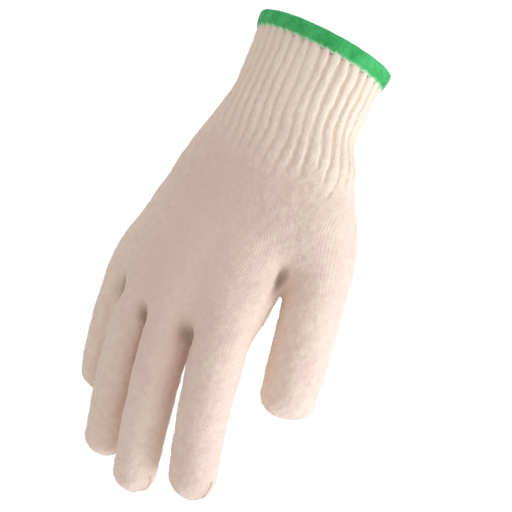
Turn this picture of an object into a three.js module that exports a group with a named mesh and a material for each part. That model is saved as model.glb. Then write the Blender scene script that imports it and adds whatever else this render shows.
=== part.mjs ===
import * as THREE from 'three';

// Knitted cotton work glove in its worn form, right hand.
// Millimetres. +Z points out of the cuff's mouth, -Y is the back of the hand, +X the thumb side.

// cuff
const cuffLength = 58;
const cuffBreadth = 69.6;
const cuffDepth = 53;
const ribCount = 36;
const ribRise = 1.1;
const mouthTilt = 5.3;
const mouthTiltToward = 6;

// hem
const hemHeight = 8.5;
const hemThickness = 1.3;

// hand
const palmLength = 88;
const palmBreadth = 90;
const palmDepth = 44;
const webRise = 8;
const thumbWebRise = 11;
const palmBlend = 9;
const fingerBlend = 2.5;
const thumbBlend = 24;
const forkBlend = 3;
const fingerFlat = 1.2;

// fingers and thumb
const indexLength = 88;
const indexBreadth = 27.6;
const middleLength = 94.4;
const middleBreadth = 24.2;
const ringLength = 88.4;
const ringBreadth = 23.6;
const littleLength = 67;
const littleBreadth = 21.4;
const thumbLength = 118;
const thumbBreadth = 29;

// cloth
const wall = 1.8;
const gap = 0.3;

// columns of facets in each strip of the tubes, and rows along them
const stripColumns = 4;
const webColumns = 3;
const thumbWebColumns = 4;
const sideColumns = 3;
const thumbColumns = 4;
const ribColumns = 3;
const upperRows = 7;
const lowerRows = 6;
const fingerRows = 13;
const tipRows = 4;
const cuffRows = 5;

// sections of the cuff: at is a share of cuffLength down from the mouth
const cuffSections = [
  { at: -0.17, middle: 0.009, breadth: 1.086, depth: 1.08 },
  { at: 0.0, middle: 0.009, breadth: 1.075, depth: 1.07 },
  { at: 0.2, middle: 0.009, breadth: 1.03, depth: 1.026 },
  { at: 0.59, middle: 0.02, breadth: 1.0, depth: 1.0 },
  { at: 0.79, middle: 0.015, breadth: 1.045, depth: 1.02 },
];

// sections of the hand: at is a share of palmLength down from the cuff, arch bows the sides palmward
const palmSections = [
  { at: 0.0, middle: 0.016, lift: 0.011, breadth: 0.925, depth: 1.22, arch: 0.011, square: 2.05 },
  { at: 0.193, middle: -0.03, lift: 0.023, breadth: 0.97, depth: 1.16, arch: 0.045, square: 2.15 },
  { at: 0.42, middle: -0.08, lift: 0.023, breadth: 0.975, depth: 1.0, arch: 0.091, square: 2.25 },
  { at: 0.648, middle: -0.108, lift: 0.0, breadth: 0.945, depth: 0.841, arch: 0.136, square: 2.35 },
  { at: 0.875, middle: -0.138, lift: -0.034, breadth: 0.952, depth: 0.727, arch: 0.193, square: 2.4 },
  { at: 1.045, middle: -0.17, lift: -0.057, breadth: 0.955, depth: 0.627, arch: 0.227, square: 2.4 },
];

// the hand's blunt end, before the fingers leave it
const palmEnd = { at: 0.875, rounding: 0.28, ulnarRise: 0.15, riseFrom: -0.28, riseOver: 0.3 };

// fingers: root in shares of palmBreadth, palmDepth and palmLength, angles in degrees, then shares
// of the finger's own breadth at its middle and tip, and its depth at root, middle and tip
const fingerTable = [
  {
    name: 'index_finger', length: indexLength, breadth: indexBreadth,
    across: 0.188, forward: 0.04, down: 0.977, lean: 5, palmLean: 6, curlFrom: 7, curlTo: 26,
    midBreadth: 0.935, tipBreadth: 0.862, depth: 0.957, midDepth: 0.899, tipDepth: 0.783,
  },
  {
    name: 'middle_finger', length: middleLength, breadth: middleBreadth,
    across: -0.116, forward: -0.045, down: 1.0, lean: 2.8, palmLean: -5, curlFrom: 7, curlTo: 26,
    midBreadth: 0.968, tipBreadth: 0.903, depth: 1.048, midDepth: 0.968, tipDepth: 0.839,
  },
  {
    name: 'ring_finger', length: ringLength, breadth: ringBreadth,
    across: -0.377, forward: 0.005, down: 0.955, lean: 0.4, palmLean: -14, curlFrom: 8, curlTo: 28,
    midBreadth: 0.949, tipBreadth: 0.864, depth: 1.051, midDepth: 0.966, tipDepth: 0.847,
  },
  {
    name: 'little_finger', length: littleLength, breadth: littleBreadth,
    across: -0.562, forward: 0.1, down: 0.864, lean: -1.8, palmLean: -25, curlFrom: 8, curlTo: 28,
    midBreadth: 0.99, tipBreadth: 0.885, depth: 1.058, midDepth: 0.981, tipDepth: 0.885,
  },
];
// how far down the webs between neighbouring fingers lie, in shares of palmLength
const webTable = [
  { between: 'index and middle', down: 1.175 },
  { between: 'middle and ring', down: 1.155 },
  { between: 'ring and little', down: 1.045 },
];
const thumbWebDown = 0.85;
const boneReach = 0.52;
const boneTaper = 0.55;
const boneSink = 0.057;
const axisSteps = 30;

// thumb: its root in the hand, then offsets from the root in shares of thumbLength and half sizes
// in shares of thumbBreadth
const thumbRoot = { across: 0.244, forward: 0.091, down: -0.068 };
const thumbSections = [
  { at: 0.0, across: 0.0, forward: 0.0, down: 0.0, breadth: 0.87, depth: 0.98 },
  { at: 0.248, across: 0.1, forward: 0.051, down: 0.22, breadth: 1.03, depth: 1.12 },
  { at: 0.427, across: 0.16, forward: 0.102, down: 0.381, breadth: 1.08, depth: 1.12 },
  { at: 0.586, across: 0.18, forward: 0.144, down: 0.534, breadth: 1.04, depth: 1.05 },
  { at: 0.761, across: 0.193, forward: 0.182, down: 0.703, breadth: 1.0, depth: 1.0 },
  { at: 0.918, across: 0.206, forward: 0.216, down: 0.856, breadth: 0.97, depth: 0.96 },
  { at: 1.006, across: 0.213, forward: 0.234, down: 0.949, breadth: 0.9, depth: 0.9 },
];
const thumbTip = 0.36;
const thumbWide = new THREE.Vector3(0.8, 0.6, 0);
const thumbPlaneFacing = new THREE.Vector3(0.77, 0.64, 0);

// small helpers
const radians = THREE.MathUtils.degToRad;
const clamp = THREE.MathUtils.clamp;
const lerp = THREE.MathUtils.lerp;
const smooth = (value) => {
  const u = clamp(value, 0, 1);
  return u * u * (3 - 2 * u);
};

function blendMin(first, second, reach) {
  const h = Math.max(reach - Math.abs(first - second), 0) / reach;
  return Math.min(first, second) - h * h * reach / 4;
}

function blendMax(first, second, reach) {
  return -blendMin(-first, -second, reach);
}

// smooth curve through the rows of a table
function curveAt(rows, key, at) {
  let i = 0;
  while (i < rows.length - 2 && at > rows[i + 1].at) {
    i += 1;
  }
  const slope = (k) => {
    const before = rows[Math.max(k - 1, 0)];
    const after = rows[Math.min(k + 1, rows.length - 1)];
    return (after[key] - before[key]) / (after.at - before.at);
  };
  const step = rows[i + 1].at - rows[i].at;
  const u = clamp((at - rows[i].at) / step, 0, 1);
  const rise = u * u * (3 - 2 * u);
  const start = u * (1 - u) * (1 - u);
  const end = -u * u * (1 - u);
  return lerp(rows[i][key], rows[i + 1][key], rise) + step * (start * slope(i) + end * slope(i + 1));
}

// hand tube: one row of sizes for each section, from the mouth to the forks
const handRows = [
  ...cuffSections.map((row) => ({
    at: row.at * cuffLength,
    middle: row.middle * cuffBreadth,
    lift: 0,
    halfBreadth: row.breadth * cuffBreadth / 2,
    halfDepth: row.depth * cuffDepth / 2,
    arch: 0,
    square: 2,
  })),
  ...palmSections.map((row) => ({
    at: cuffLength + row.at * palmLength,
    middle: row.middle * palmBreadth,
    lift: row.lift * palmDepth,
    halfBreadth: row.breadth * palmBreadth / 2,
    halfDepth: row.depth * palmDepth / 2,
    arch: row.arch * palmDepth,
    square: row.square,
  })),
];

const handKeys = ['middle', 'lift', 'halfBreadth', 'halfDepth', 'arch', 'square'];
function handSection(z) {
  const at = clamp(-z, handRows[0].at, handRows[handRows.length - 1].at);
  const section = {};
  for (const key of handKeys) {
    section[key] = curveAt(handRows, key, at);
  }
  return section;
}

function handField(point) {
  const section = handSection(point.z);
  const x = point.x - section.middle;
  const side = Math.abs(x / section.halfBreadth);
  const y = point.y - section.lift - section.arch * Math.min(side, 1.2) ** 2;
  const ulnar = clamp((palmEnd.riseFrom - point.x / palmBreadth) / palmEnd.riseOver, 0, 1);
  const end = -cuffLength - (palmEnd.at - palmEnd.ulnarRise * ulnar) * palmLength;
  const past = Math.max(0, end - point.z);
  const power = section.square;
  const sum = side ** power + Math.abs(y / section.halfDepth) ** power
    + (past / (palmEnd.rounding * palmLength)) ** power;
  const reach = sum ** (1 / power) + 1e-9;
  return Math.hypot(x, y, past) * (1 - 1 / reach);
}

// a finger or thumb: points along its middle line, with across and depth directions and half sizes
function finishTube(points, breadths, depths, tip, wide) {
  const nodes = points.map((point, i) => {
    const before = points[Math.max(i - 1, 0)];
    const after = points[Math.min(i + 1, points.length - 1)];
    const along = after.clone().sub(before).normalize();
    const across = wide.clone().addScaledVector(along, -wide.dot(along)).normalize();
    const back = new THREE.Vector3().crossVectors(along, across);
    if (back.y > 0) {
      back.negate();
    }
    return { point, along, across, back, breadth: breadths[i], depth: depths[i] };
  });
  let length = 0;
  nodes.forEach((node, i) => {
    length += i ? node.point.distanceTo(nodes[i - 1].point) : 0;
    node.at = length;
  });
  return { nodes, tip, length };
}

function fingerTube(row) {
  const tip = row.breadth * row.tipBreadth / 2;
  const reach = row.length - tip;
  const up = boneReach * palmLength;
  const root = new THREE.Vector3(
    row.across * palmBreadth,
    row.forward * palmDepth,
    -cuffLength - row.down * palmLength,
  );
  const halves = [
    { at: 0, breadth: 1, depth: row.depth },
    { at: 0.5, breadth: row.midBreadth, depth: row.midDepth },
    { at: 1, breadth: row.tipBreadth, depth: row.tipDepth },
  ];
  const stations = [];
  for (let i = 0; i <= axisSteps; i += 1) {
    stations.push(lerp(-up, reach, i / axisSteps));
  }
  const heading = (s) => {
    const inPalm = clamp(-s / up, 0, 1);
    const curl = radians(lerp(row.curlFrom, row.curlTo, clamp(s / row.length, 0, 1)) * (1 - inPalm));
    const lean = radians(lerp(row.lean, row.palmLean, clamp(-s / (up / 4), 0, 1)));
    return new THREE.Vector3(
      Math.sin(lean) * Math.cos(curl),
      Math.sin(curl),
      -Math.cos(lean) * Math.cos(curl),
    );
  };
  const points = [new THREE.Vector3()];
  for (let i = 1; i < stations.length; i += 1) {
    const middle = (stations[i] + stations[i - 1]) / 2;
    const step = stations[i] - stations[i - 1];
    points.push(points[i - 1].clone().addScaledVector(heading(middle), step));
  }
  const rootAt = up / (up + reach) * axisSteps;
  const i0 = Math.floor(rootAt);
  const here = points[i0].clone().lerp(points[i0 + 1], rootAt - i0);
  const shift = root.sub(here);
  const breadths = [];
  const depths = [];
  points.forEach((point, i) => {
    const inPalm = clamp(-stations[i] / up, 0, 1);
    point.add(shift);
    point.y += boneSink * 2 * palmDepth * inPalm ** 2;
    const taper = 1 - boneTaper * inPalm ** 2;
    const share = clamp(stations[i] / reach, 0, 1);
    breadths.push(curveAt(halves, 'breadth', share) * row.breadth / 2 * taper);
    depths.push(curveAt(halves, 'depth', share) * row.breadth / 2 * taper);
  });
  return finishTube(points, breadths, depths, tip, new THREE.Vector3(1, 0, 0));
}

function thumbTube() {
  const root = new THREE.Vector3(
    thumbRoot.across * palmBreadth,
    thumbRoot.forward * palmDepth,
    -cuffLength - thumbRoot.down * palmLength,
  );
  const points = [];
  const breadths = [];
  const depths = [];
  for (let i = 0; i <= axisSteps; i += 1) {
    const at = thumbSections[thumbSections.length - 1].at * i / axisSteps;
    const offset = new THREE.Vector3(
      curveAt(thumbSections, 'across', at),
      curveAt(thumbSections, 'forward', at),
      -curveAt(thumbSections, 'down', at),
    );
    points.push(root.clone().addScaledVector(offset, thumbLength));
    breadths.push(curveAt(thumbSections, 'breadth', at) * thumbBreadth / 2);
    depths.push(curveAt(thumbSections, 'depth', at) * thumbBreadth / 2);
  }
  return finishTube(points, breadths, depths, thumbTip * thumbBreadth, thumbWide);
}

const fingerTubes = fingerTable.map(fingerTube);
const thumb = thumbTube();

function nodeAt(tube, at) {
  let i = 0;
  while (i < tube.nodes.length - 2 && at > tube.nodes[i + 1].at) {
    i += 1;
  }
  const a = tube.nodes[i];
  const b = tube.nodes[i + 1];
  const u = clamp((at - a.at) / (b.at - a.at), 0, 1);
  return {
    point: a.point.clone().lerp(b.point, u),
    along: a.along.clone().lerp(b.along, u).normalize(),
    across: a.across.clone().lerp(b.across, u).normalize(),
    back: a.back.clone().lerp(b.back, u).normalize(),
    breadth: lerp(a.breadth, b.breadth, u),
    depth: lerp(a.depth, b.depth, u),
  };
}

function nearestAt(tube, point) {
  let best = { distance: Infinity, at: 0 };
  for (let i = 0; i < tube.nodes.length - 1; i += 1) {
    const a = tube.nodes[i];
    const b = tube.nodes[i + 1];
    const dx = b.point.x - a.point.x;
    const dy = b.point.y - a.point.y;
    const dz = b.point.z - a.point.z;
    const px = point.x - a.point.x;
    const py = point.y - a.point.y;
    const pz = point.z - a.point.z;
    const u = clamp((px * dx + py * dy + pz * dz) / (dx * dx + dy * dy + dz * dz), 0, 1);
    const distance = Math.hypot(px - u * dx, py - u * dy, pz - u * dz);
    if (distance < best.distance) {
      best = { distance, at: lerp(a.at, b.at, u) };
    }
  }
  return best.at;
}

function tubeField(tube, point) {
  const at = nearestAt(tube, point);
  const node = nodeAt(tube, at);
  const offset = point.clone().sub(node.point);
  const ended = at >= tube.length - 1e-6 || at <= 1e-6;
  const along = ended ? offset.dot(node.along) : 0;
  const across = offset.dot(node.across);
  const back = offset.dot(node.back);
  const reach = Math.hypot(across / node.breadth, back / node.depth, along / tube.tip) + 1e-9;
  return Math.hypot(across, back, along) * (1 - 1 / reach);
}

// zones in which the blends between the glove's parts change, in shares of palmLength
const blendZones = {
  knucklesAbove: 0.09,
  knucklesOver: 0.28,
  knucklesMore: 0.8,
  forkDown: 0.68,
  forkOver: 0.18,
  heelOver: 0.35,
  heelLeast: 0.3,
};

// the whole glove's outer surface is where this field is zero
const palmFoot = -cuffLength - palmLength;
const thumbFork = -cuffLength - blendZones.forkDown * palmLength;
function gloveField(point) {
  const fingers = fingerTubes.map((tube) => tubeField(tube, point));
  const joined = fingers.reduce((sum, value) => blendMin(sum, value, fingerBlend));
  const zones = blendZones;
  const overKnuckles = (point.z - palmFoot) / palmLength - zones.knucklesAbove;
  const upper = smooth(overKnuckles / zones.knucklesOver);
  const hand = blendMin(joined, handField(point), palmBlend * (1 + zones.knucklesMore * upper));
  const web = smooth((point.z - thumbFork) / (zones.forkOver * palmLength));
  const heel = smooth(-(point.z + cuffLength) / (zones.heelOver * palmLength));
  const fullBlend = thumbBlend * lerp(zones.heelLeast, 1, heel);
  return blendMin(hand, tubeField(thumb, point), lerp(forkBlend, fullBlend, web));
}

function slopeAt(field, point) {
  const step = 0.3;
  const slope = ['x', 'y', 'z'].map((axis) => {
    const ahead = point.clone();
    const behind = point.clone();
    ahead[axis] += step;
    behind[axis] -= step;
    return field(ahead) - field(behind);
  });
  return new THREE.Vector3(...slope).normalize();
}

// walks out along a path from inside the glove until the field is zero
function castOut(field, pathAt, limit) {
  let near = 0;
  let far = 0;
  let value = field(pathAt(0));
  for (let i = 0; i < 60 && far < limit; i += 1) {
    far = Math.min(limit, near + Math.max(0.6, -0.8 * value));
    value = field(pathAt(far));
    if (value > 0) {
      break;
    }
    near = far;
  }
  for (let i = 0; i < 22; i += 1) {
    const middle = (near + far) / 2;
    if (field(pathAt(middle)) > 0) {
      far = middle;
    } else {
      near = middle;
    }
  }
  return pathAt((near + far) / 2);
}

function castRay(field, ray, limit) {
  return castOut(field, (t) => ray.from.clone().addScaledVector(ray.toward, t), limit);
}

const castLimit = 90;

// planes that part neighbouring fingers, and the thumb from the hand
function axisAt(tube, z) {
  const nodes = tube.nodes;
  let i = 0;
  while (i < nodes.length - 2 && z < nodes[i + 1].point.z) {
    i += 1;
  }
  const u = clamp((z - nodes[i].point.z) / (nodes[i + 1].point.z - nodes[i].point.z), 0, 1);
  return nodeAt(tube, lerp(nodes[i].at, nodes[i + 1].at, u));
}

function straightParting(facing, upperZ, lowerZ, offsetOf) {
  const upper = offsetOf(upperZ);
  const lower = offsetOf(lowerZ);
  return {
    facing,
    sideways: new THREE.Vector3(-facing.y, facing.x, 0).multiplyScalar(facing.x < 0 ? -1 : 1),
    offsetAt: (z) => upper + (lower - upper) * (z - upperZ) / (lowerZ - upperZ),
  };
}

function fingerParting(first, second) {
  const rootOf = (row) => -cuffLength - row.down * palmLength;
  const upperZ = Math.min(rootOf(fingerTable[first]), rootOf(fingerTable[second]));
  const tips = [first, second].map((i) => fingerTubes[i].nodes[axisSteps].point.z);
  return straightParting(new THREE.Vector3(-1, 0, 0), upperZ, Math.max(...tips), (z) => {
    const a = axisAt(fingerTubes[first], z);
    const b = axisAt(fingerTubes[second], z);
    return -(a.point.x * b.breadth + b.point.x * a.breadth) / (a.breadth + b.breadth);
  });
}

const thumbFacing = thumbPlaneFacing.clone().normalize();
const thumbParting = straightParting(
  thumbFacing,
  thumbFork + 0.1 * palmLength,
  thumbFork - 0.3 * palmLength,
  (z) => {
    const section = handSection(z);
    const edge = new THREE.Vector3(
      section.middle + section.halfBreadth - 0.85 * section.halfDepth,
      section.lift + section.arch * 0.4,
      0,
    );
    const thumbNode = axisAt(thumb, z);
    const thumbSide = thumbFacing.dot(thumbNode.point) - thumbNode.breadth;
    const handSide = thumbFacing.dot(edge) + 0.85 * section.halfDepth;
    return (thumbSide + handSide) / 2;
  },
);

function onParting(parting, along, z, shift) {
  return parting.facing.clone().multiplyScalar(parting.offsetAt(z) + shift)
    .addScaledVector(parting.sideways, along).setZ(z);
}

// the web between two neighbours: its lowest point, the row above it and a fan of rays that meets it
function makeWeb(parting, alongAt, start, foot, rise) {
  const open = castOut(
    gloveField,
    (t) => onParting(parting, alongAt(start - t), start - t, 0),
    start - foot,
  );
  const lowest = Math.max(open.z, foot);
  const z = lowest + rise;
  return { parting, z, along: alongAt(z), lowest, rise };
}

function webCurve(web, columns, shift) {
  const points = [];
  const field = (point) => blendMax(gloveField(point), web.lowest - point.z, web.rise / 2);
  for (let i = 0; i <= columns; i += 1) {
    const angle = Math.PI * i / columns;
    const sideways = -Math.cos(angle);
    const fall = Math.sin(angle);
    const pathAt = (t) => onParting(web.parting, web.along + sideways * t, web.z - fall * t, shift);
    const outer = castOut(field, pathAt, castLimit);
    const reach = fall > 0.1
      ? (web.z - outer.z) / fall
      : Math.abs(outer.dot(web.parting.sideways) - web.along);
    points.push({ outer, inner: pathAt(reach - wall) });
  }
  return points;
}

function midY(x, z) {
  const section = handSection(z);
  const side = (x - section.middle) / section.halfBreadth;
  return section.lift + section.arch * Math.min(side * side, 1.4);
}

const partings = [fingerParting(0, 1), fingerParting(1, 2), fingerParting(2, 3)];
const webs = partings.map((parting, i) => makeWeb(
  parting,
  (z) => midY(-parting.offsetAt(z), z),
  -cuffLength - 0.55 * palmLength,
  -cuffLength - webTable[i].down * palmLength,
  webRise,
));
const thumbAlongAt = (z) => {
  const section = handSection(z);
  const edgeX = section.middle + section.halfBreadth * 0.8;
  const edge = new THREE.Vector3(edgeX, midY(edgeX, z), 0);
  return (axisAt(thumb, z).point.dot(thumbParting.sideways) + edge.dot(thumbParting.sideways)) / 2;
};
const thumbWeb = makeWeb(
  thumbParting,
  thumbAlongAt,
  -cuffLength - 0.3 * palmLength,
  -cuffLength - thumbWebDown * palmLength,
  thumbWebRise,
);

function mixRay(a, b, u) {
  return {
    from: a.from.clone().lerp(b.from, u),
    toward: a.toward.clone().lerp(b.toward, u).normalize(),
  };
}

function fanRays(from, startAngle, endAngle, columns) {
  const rays = [];
  for (let i = 0; i < columns; i += 1) {
    const angle = radians(lerp(startAngle, endAngle, i / columns));
    rays.push({ from: from.clone(), toward: new THREE.Vector3(Math.cos(angle), Math.sin(angle), 0) });
  }
  return rays;
}

// rays of one level of the four-finger part, over the back from the index to the little finger,
// round its side and back along the palm; spine holds the points between the strips
function handRays(spine, radialBack) {
  const straightBack = new THREE.Vector3(0, -1, 0);
  const last = spine.length - 1;
  const strip = (i, k, sign) => {
    const backOf = (n) => (n ? straightBack : radialBack).clone().multiplyScalar(sign);
    const start = { from: spine[i], toward: backOf(i) };
    const end = { from: spine[k], toward: backOf(k) };
    return Array.from({ length: stripColumns }, (_, n) => mixRay(start, end, n / stripColumns));
  };
  const rays = [];
  for (let i = 0; i < last; i += 1) {
    rays.push(...strip(i, i + 1, 1));
  }
  rays.push(...fanRays(spine[last], -90, -270, sideColumns));
  for (let i = last; i > 0; i -= 1) {
    rays.push(...strip(i, i - 1, -1));
  }
  return rays;
}

// the level where the fingers leave the hand, a little lower between them than at its edges
function forkRays(shift) {
  const last = fingerTubes.length - 1;
  const radialZ = webs[0].z + 0.25 * webRise + shift;
  const ulnarZ = webs[last - 1].z + 0.6 * webRise + shift;
  const radialEnd = axisAt(fingerTubes[0], radialZ).point.setZ(radialZ);
  const ulnarEnd = axisAt(fingerTubes[last], ulnarZ).point.setZ(ulnarZ);
  const between = webs.map((web) => {
    const z = web.z + shift;
    const x = -web.parting.offsetAt(z);
    return new THREE.Vector3(x, midY(x, z), z);
  });
  return [
    ...handRays([radialEnd, ...between, ulnarEnd], new THREE.Vector3(0, -1, 0)),
    ...fanRays(radialEnd, 90, -90, thumbWebColumns),
  ];
}

// the level where the thumb leaves the hand
const thumbOuterAngle = { back: -75, palm: 95 };

function thumbForkRays(shift) {
  const z = thumbWeb.z + shift;
  const section = handSection(z);
  const ulnarX = section.middle - section.halfBreadth + 0.7 * section.halfDepth;
  const ulnarEnd = new THREE.Vector3(ulnarX, midY(ulnarX, z), z);
  const partingFrom = onParting(thumbParting, thumbWeb.along, z, 0);
  const spine = Array.from({ length: fingerTubes.length + 1 }, (_, i) => {
    const point = partingFrom.clone().lerp(ulnarEnd, i / fingerTubes.length);
    const inHand = smooth(2 * i / fingerTubes.length);
    point.y = lerp(point.y, midY(point.x, z), inHand);
    return point;
  });
  const back = thumbParting.sideways.clone().negate();
  const thumbFrom = axisAt(thumb, z).point.setZ(z);
  const outward = (angle) => new THREE.Vector3(Math.cos(radians(angle)), Math.sin(radians(angle)), 0);
  const outerBack = { from: thumbFrom, toward: outward(thumbOuterAngle.back) };
  const outerPalm = { from: thumbFrom, toward: outward(thumbOuterAngle.palm) };
  const partingBack = { from: partingFrom, toward: back };
  const partingPalm = { from: partingFrom, toward: back.clone().negate() };
  const rays = [];
  for (let i = 0; i < thumbColumns; i += 1) {
    rays.push(mixRay(outerBack, partingBack, i / thumbColumns));
  }
  rays.push(...handRays(spine, back));
  for (let i = 0; i < thumbColumns; i += 1) {
    rays.push(mixRay(partingPalm, outerPalm, i / thumbColumns));
  }
  rays.push(...fanRays(thumbFrom, thumbOuterAngle.palm, thumbOuterAngle.back, sideColumns));
  return rays;
}

// the cuff's rays are spread evenly round it and dip with its slightly oblique mouth
const upperColumns = 8 * stripColumns + 2 * thumbColumns + 2 * sideColumns;
function evenAngles(columns) {
  const steps = 720;
  const lengths = [0];
  const at = (i) => {
    const angle = 2 * Math.PI * i / steps;
    return [cuffBreadth / 2 * Math.cos(angle), cuffDepth / 2 * Math.sin(angle)];
  };
  for (let i = 1; i <= steps; i += 1) {
    const [x0, y0] = at(i - 1);
    const [x1, y1] = at(i);
    lengths.push(lengths[i - 1] + Math.hypot(x1 - x0, y1 - y0));
  }
  const angles = [];
  let k = 0;
  for (let j = 0; j < columns; j += 1) {
    const target = lengths[steps] * j / columns;
    while (lengths[k + 1] < target) {
      k += 1;
    }
    const u = (target - lengths[k]) / (lengths[k + 1] - lengths[k]);
    const [x, y] = at(k + u);
    angles.push(Math.atan2(y, x));
  }
  return angles;
}

// ring columns run clockwise seen from the mouth, starting where the thumb's back strip starts
const firstColumnTurn = (thumbColumns + 2 * stripColumns) / upperColumns;
function cuffRay(z, angle) {
  const section = handSection(z);
  const tilt = Math.tan(radians(mouthTilt)) * (1 - smooth((-z - cuffLength) / (0.3 * palmLength)));
  const toward = new THREE.Vector3(Math.cos(angle), Math.sin(angle), 0);
  toward.z = -tilt * Math.cos(angle - radians(mouthTiltToward));
  return { from: new THREE.Vector3(section.middle, section.lift, z), toward: toward.normalize() };
}

function cuffAngles(columns) {
  const even = evenAngles(4 * columns);
  const start = Math.round((0.75 + firstColumnTurn) * 4 * columns);
  const angles = [];
  for (let j = 0; j < columns; j += 1) {
    angles.push(even[(start - 4 * j + 8 * columns) % (4 * columns)]);
  }
  return angles;
}

// solids: a grid of outer points and a grid of inner points, joined along their open edges
function addVertex(mesh, point) {
  mesh.points.push(point);
  return mesh.points.length - 1;
}

function addQuad(mesh, a, b, c, d) {
  const points = mesh.points;
  if (points[a].distanceToSquared(points[c]) < points[b].distanceToSquared(points[d])) {
    mesh.faces.push([a, b, c], [a, c, d]);
  } else {
    mesh.faces.push([a, b, d], [b, c, d]);
  }
}

function addRow(mesh, upper, lower, inside) {
  for (let j = 0; j < upper.length; j += 1) {
    const k = (j + 1) % upper.length;
    if (inside) {
      addQuad(mesh, upper[k], upper[j], lower[j], lower[k]);
    } else {
      addQuad(mesh, upper[j], upper[k], lower[k], lower[j]);
    }
  }
}

function insideOf(field, point) {
  return point.clone().addScaledVector(slopeAt(field, point), -wall);
}

function addSurfaceRow(mesh, outerPoints, innerPoints) {
  return {
    outer: outerPoints.map((point) => addVertex(mesh, point)),
    inner: innerPoints.map((point) => addVertex(mesh, point)),
  };
}

function toMesh(name, mesh, colour, roughness) {
  const geometry = new THREE.BufferGeometry();
  const flat = mesh.points.flatMap((point) => [point.x, point.y, point.z]);
  geometry.setAttribute('position', new THREE.Float32BufferAttribute(flat, 3));
  geometry.setIndex(mesh.faces.flat());
  geometry.computeVertexNormals();
  const material = new THREE.MeshStandardMaterial({ color: colour, roughness, metalness: 0 });
  const piece = new THREE.Mesh(geometry, material);
  piece.name = name;
  return piece;
}

// tube of a finger or the thumb, from its base loop to its domed tip
function fingerSolid(tube, base, field, keep) {
  const mesh = { points: [], faces: [] };
  const count = base.length;
  const starts = base.map(({ outer }) => {
    const at = nearestAt(tube, outer);
    const node = nodeAt(tube, at);
    const offset = outer.clone().sub(node.point);
    return { at, turn: Math.atan2(offset.dot(node.back), offset.dot(node.across)) };
  });
  const turns = [starts[0].turn];
  for (let j = 1; j < count; j += 1) {
    const step = starts[j].turn - starts[j - 1].turn;
    turns.push(turns[j - 1] + Math.atan2(Math.sin(step), Math.cos(step)));
  }
  const sense = Math.sign(turns[count - 1] - turns[0]);
  const even = turns.map((turn, j) => sense * 2 * Math.PI * j / count);
  const offset = turns.reduce((sum, turn, j) => sum + turn - even[j], 0) / count;
  const rayAt = (at, turn, dome) => {
    const node = nodeAt(tube, at);
    const toward = node.across.clone().multiplyScalar(Math.cos(turn))
      .addScaledVector(node.back, Math.sin(turn)).multiplyScalar(Math.cos(dome))
      .addScaledVector(node.along, Math.sin(dome));
    return { from: node.point, toward };
  };
  let row = addSurfaceRow(mesh, base.map((end) => end.outer), base.map((end) => end.inner));
  addRow(mesh, row.inner, row.outer, false);
  const addNext = (points) => {
    const next = addSurfaceRow(mesh, points, points.map((point) => keep(insideOf(field, point))));
    addRow(mesh, row.outer, next.outer, false);
    addRow(mesh, row.inner, next.inner, true);
    row = next;
  };
  for (let i = 1; i <= fingerRows; i += 1) {
    const u = i / fingerRows;
    const turned = smooth(2.2 * u);
    addNext(starts.map((start, j) => {
      const turn = lerp(turns[j], even[j] + offset, turned);
      return castRay(field, rayAt(lerp(start.at, tube.length, u), turn, 0), castLimit);
    }));
  }
  for (let i = 1; i < tipRows; i += 1) {
    const dome = Math.PI / 2 * i / tipRows;
    addNext(even.map((turn) => castRay(field, rayAt(tube.length, turn + offset, dome), castLimit)));
  }
  const end = castRay(field, rayAt(tube.length, 0, Math.PI / 2), castLimit);
  const outerTip = addVertex(mesh, end);
  const innerTip = addVertex(mesh, insideOf(field, end));
  for (let j = 0; j < count; j += 1) {
    const k = (j + 1) % count;
    mesh.faces.push([row.outer[j], row.outer[k], outerTip]);
    mesh.faces.push([row.inner[k], row.inner[j], innerTip]);
  }
  return mesh;
}

function withInside(point) {
  return { outer: point, inner: insideOf(gloveField, point) };
}

function moved(end, facing, distance) {
  return {
    outer: end.outer.clone().addScaledVector(facing, distance),
    inner: end.inner.clone().addScaledVector(facing, distance),
  };
}

// loop where each finger starts: back strip, web, palm strip, web
const lowerCount = 8 * stripColumns + sideColumns + thumbWebColumns;
const forkLoop = forkRays(-gap / 2).map((ray) => withInside(castRay(gloveField, ray, castLimit)));

// keeps a point of one finger clear of the planes that part it from its neighbours
function ownSide(i) {
  return (point) => {
    const kept = point.clone();
    if (i < fingerTable.length - 1) {
      kept.x = Math.max(kept.x, gap / 2 - partings[i].offsetAt(point.z));
    }
    if (i > 0) {
      kept.x = Math.min(kept.x, -gap / 2 - partings[i - 1].offsetAt(point.z));
    }
    return kept;
  };
}

function fingerBase(i) {
  const last = fingerTable.length - 1;
  const away = new THREE.Vector3(-1, 0, 0);
  const backFrom = i * stripColumns;
  const palmFrom = (7 - i) * stripColumns + sideColumns;
  const back = forkLoop.slice(backFrom, backFrom + stripColumns);
  const palm = forkLoop.slice(palmFrom, palmFrom + stripColumns);
  const ulnar = i === last
    ? forkLoop.slice(4 * stripColumns, 4 * stripColumns + sideColumns)
    : [forkLoop[backFrom + stripColumns],
      ...webCurve(webs[i], webColumns, -gap / 2).slice(1, -1)];
  const radial = i === 0
    ? forkLoop.slice(lowerCount - thumbWebColumns)
    : [forkLoop[palmFrom + stripColumns],
      ...webCurve(webs[i - 1], webColumns, gap / 2).slice(1, -1).reverse()];
  if (i < last) {
    ulnar[0] = moved(ulnar[0], away, -gap / 2);
    palm[0] = moved(palm[0], away, -gap / 2);
  }
  if (i > 0) {
    back[0] = moved(back[0], away, gap / 2);
    radial[0] = moved(radial[0], away, gap / 2);
  }
  const keep = ownSide(i);
  return [...back, ...ulnar, ...palm, ...radial].map((end) => (
    { outer: keep(end.outer), inner: keep(end.inner) }
  ));
}

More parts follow.
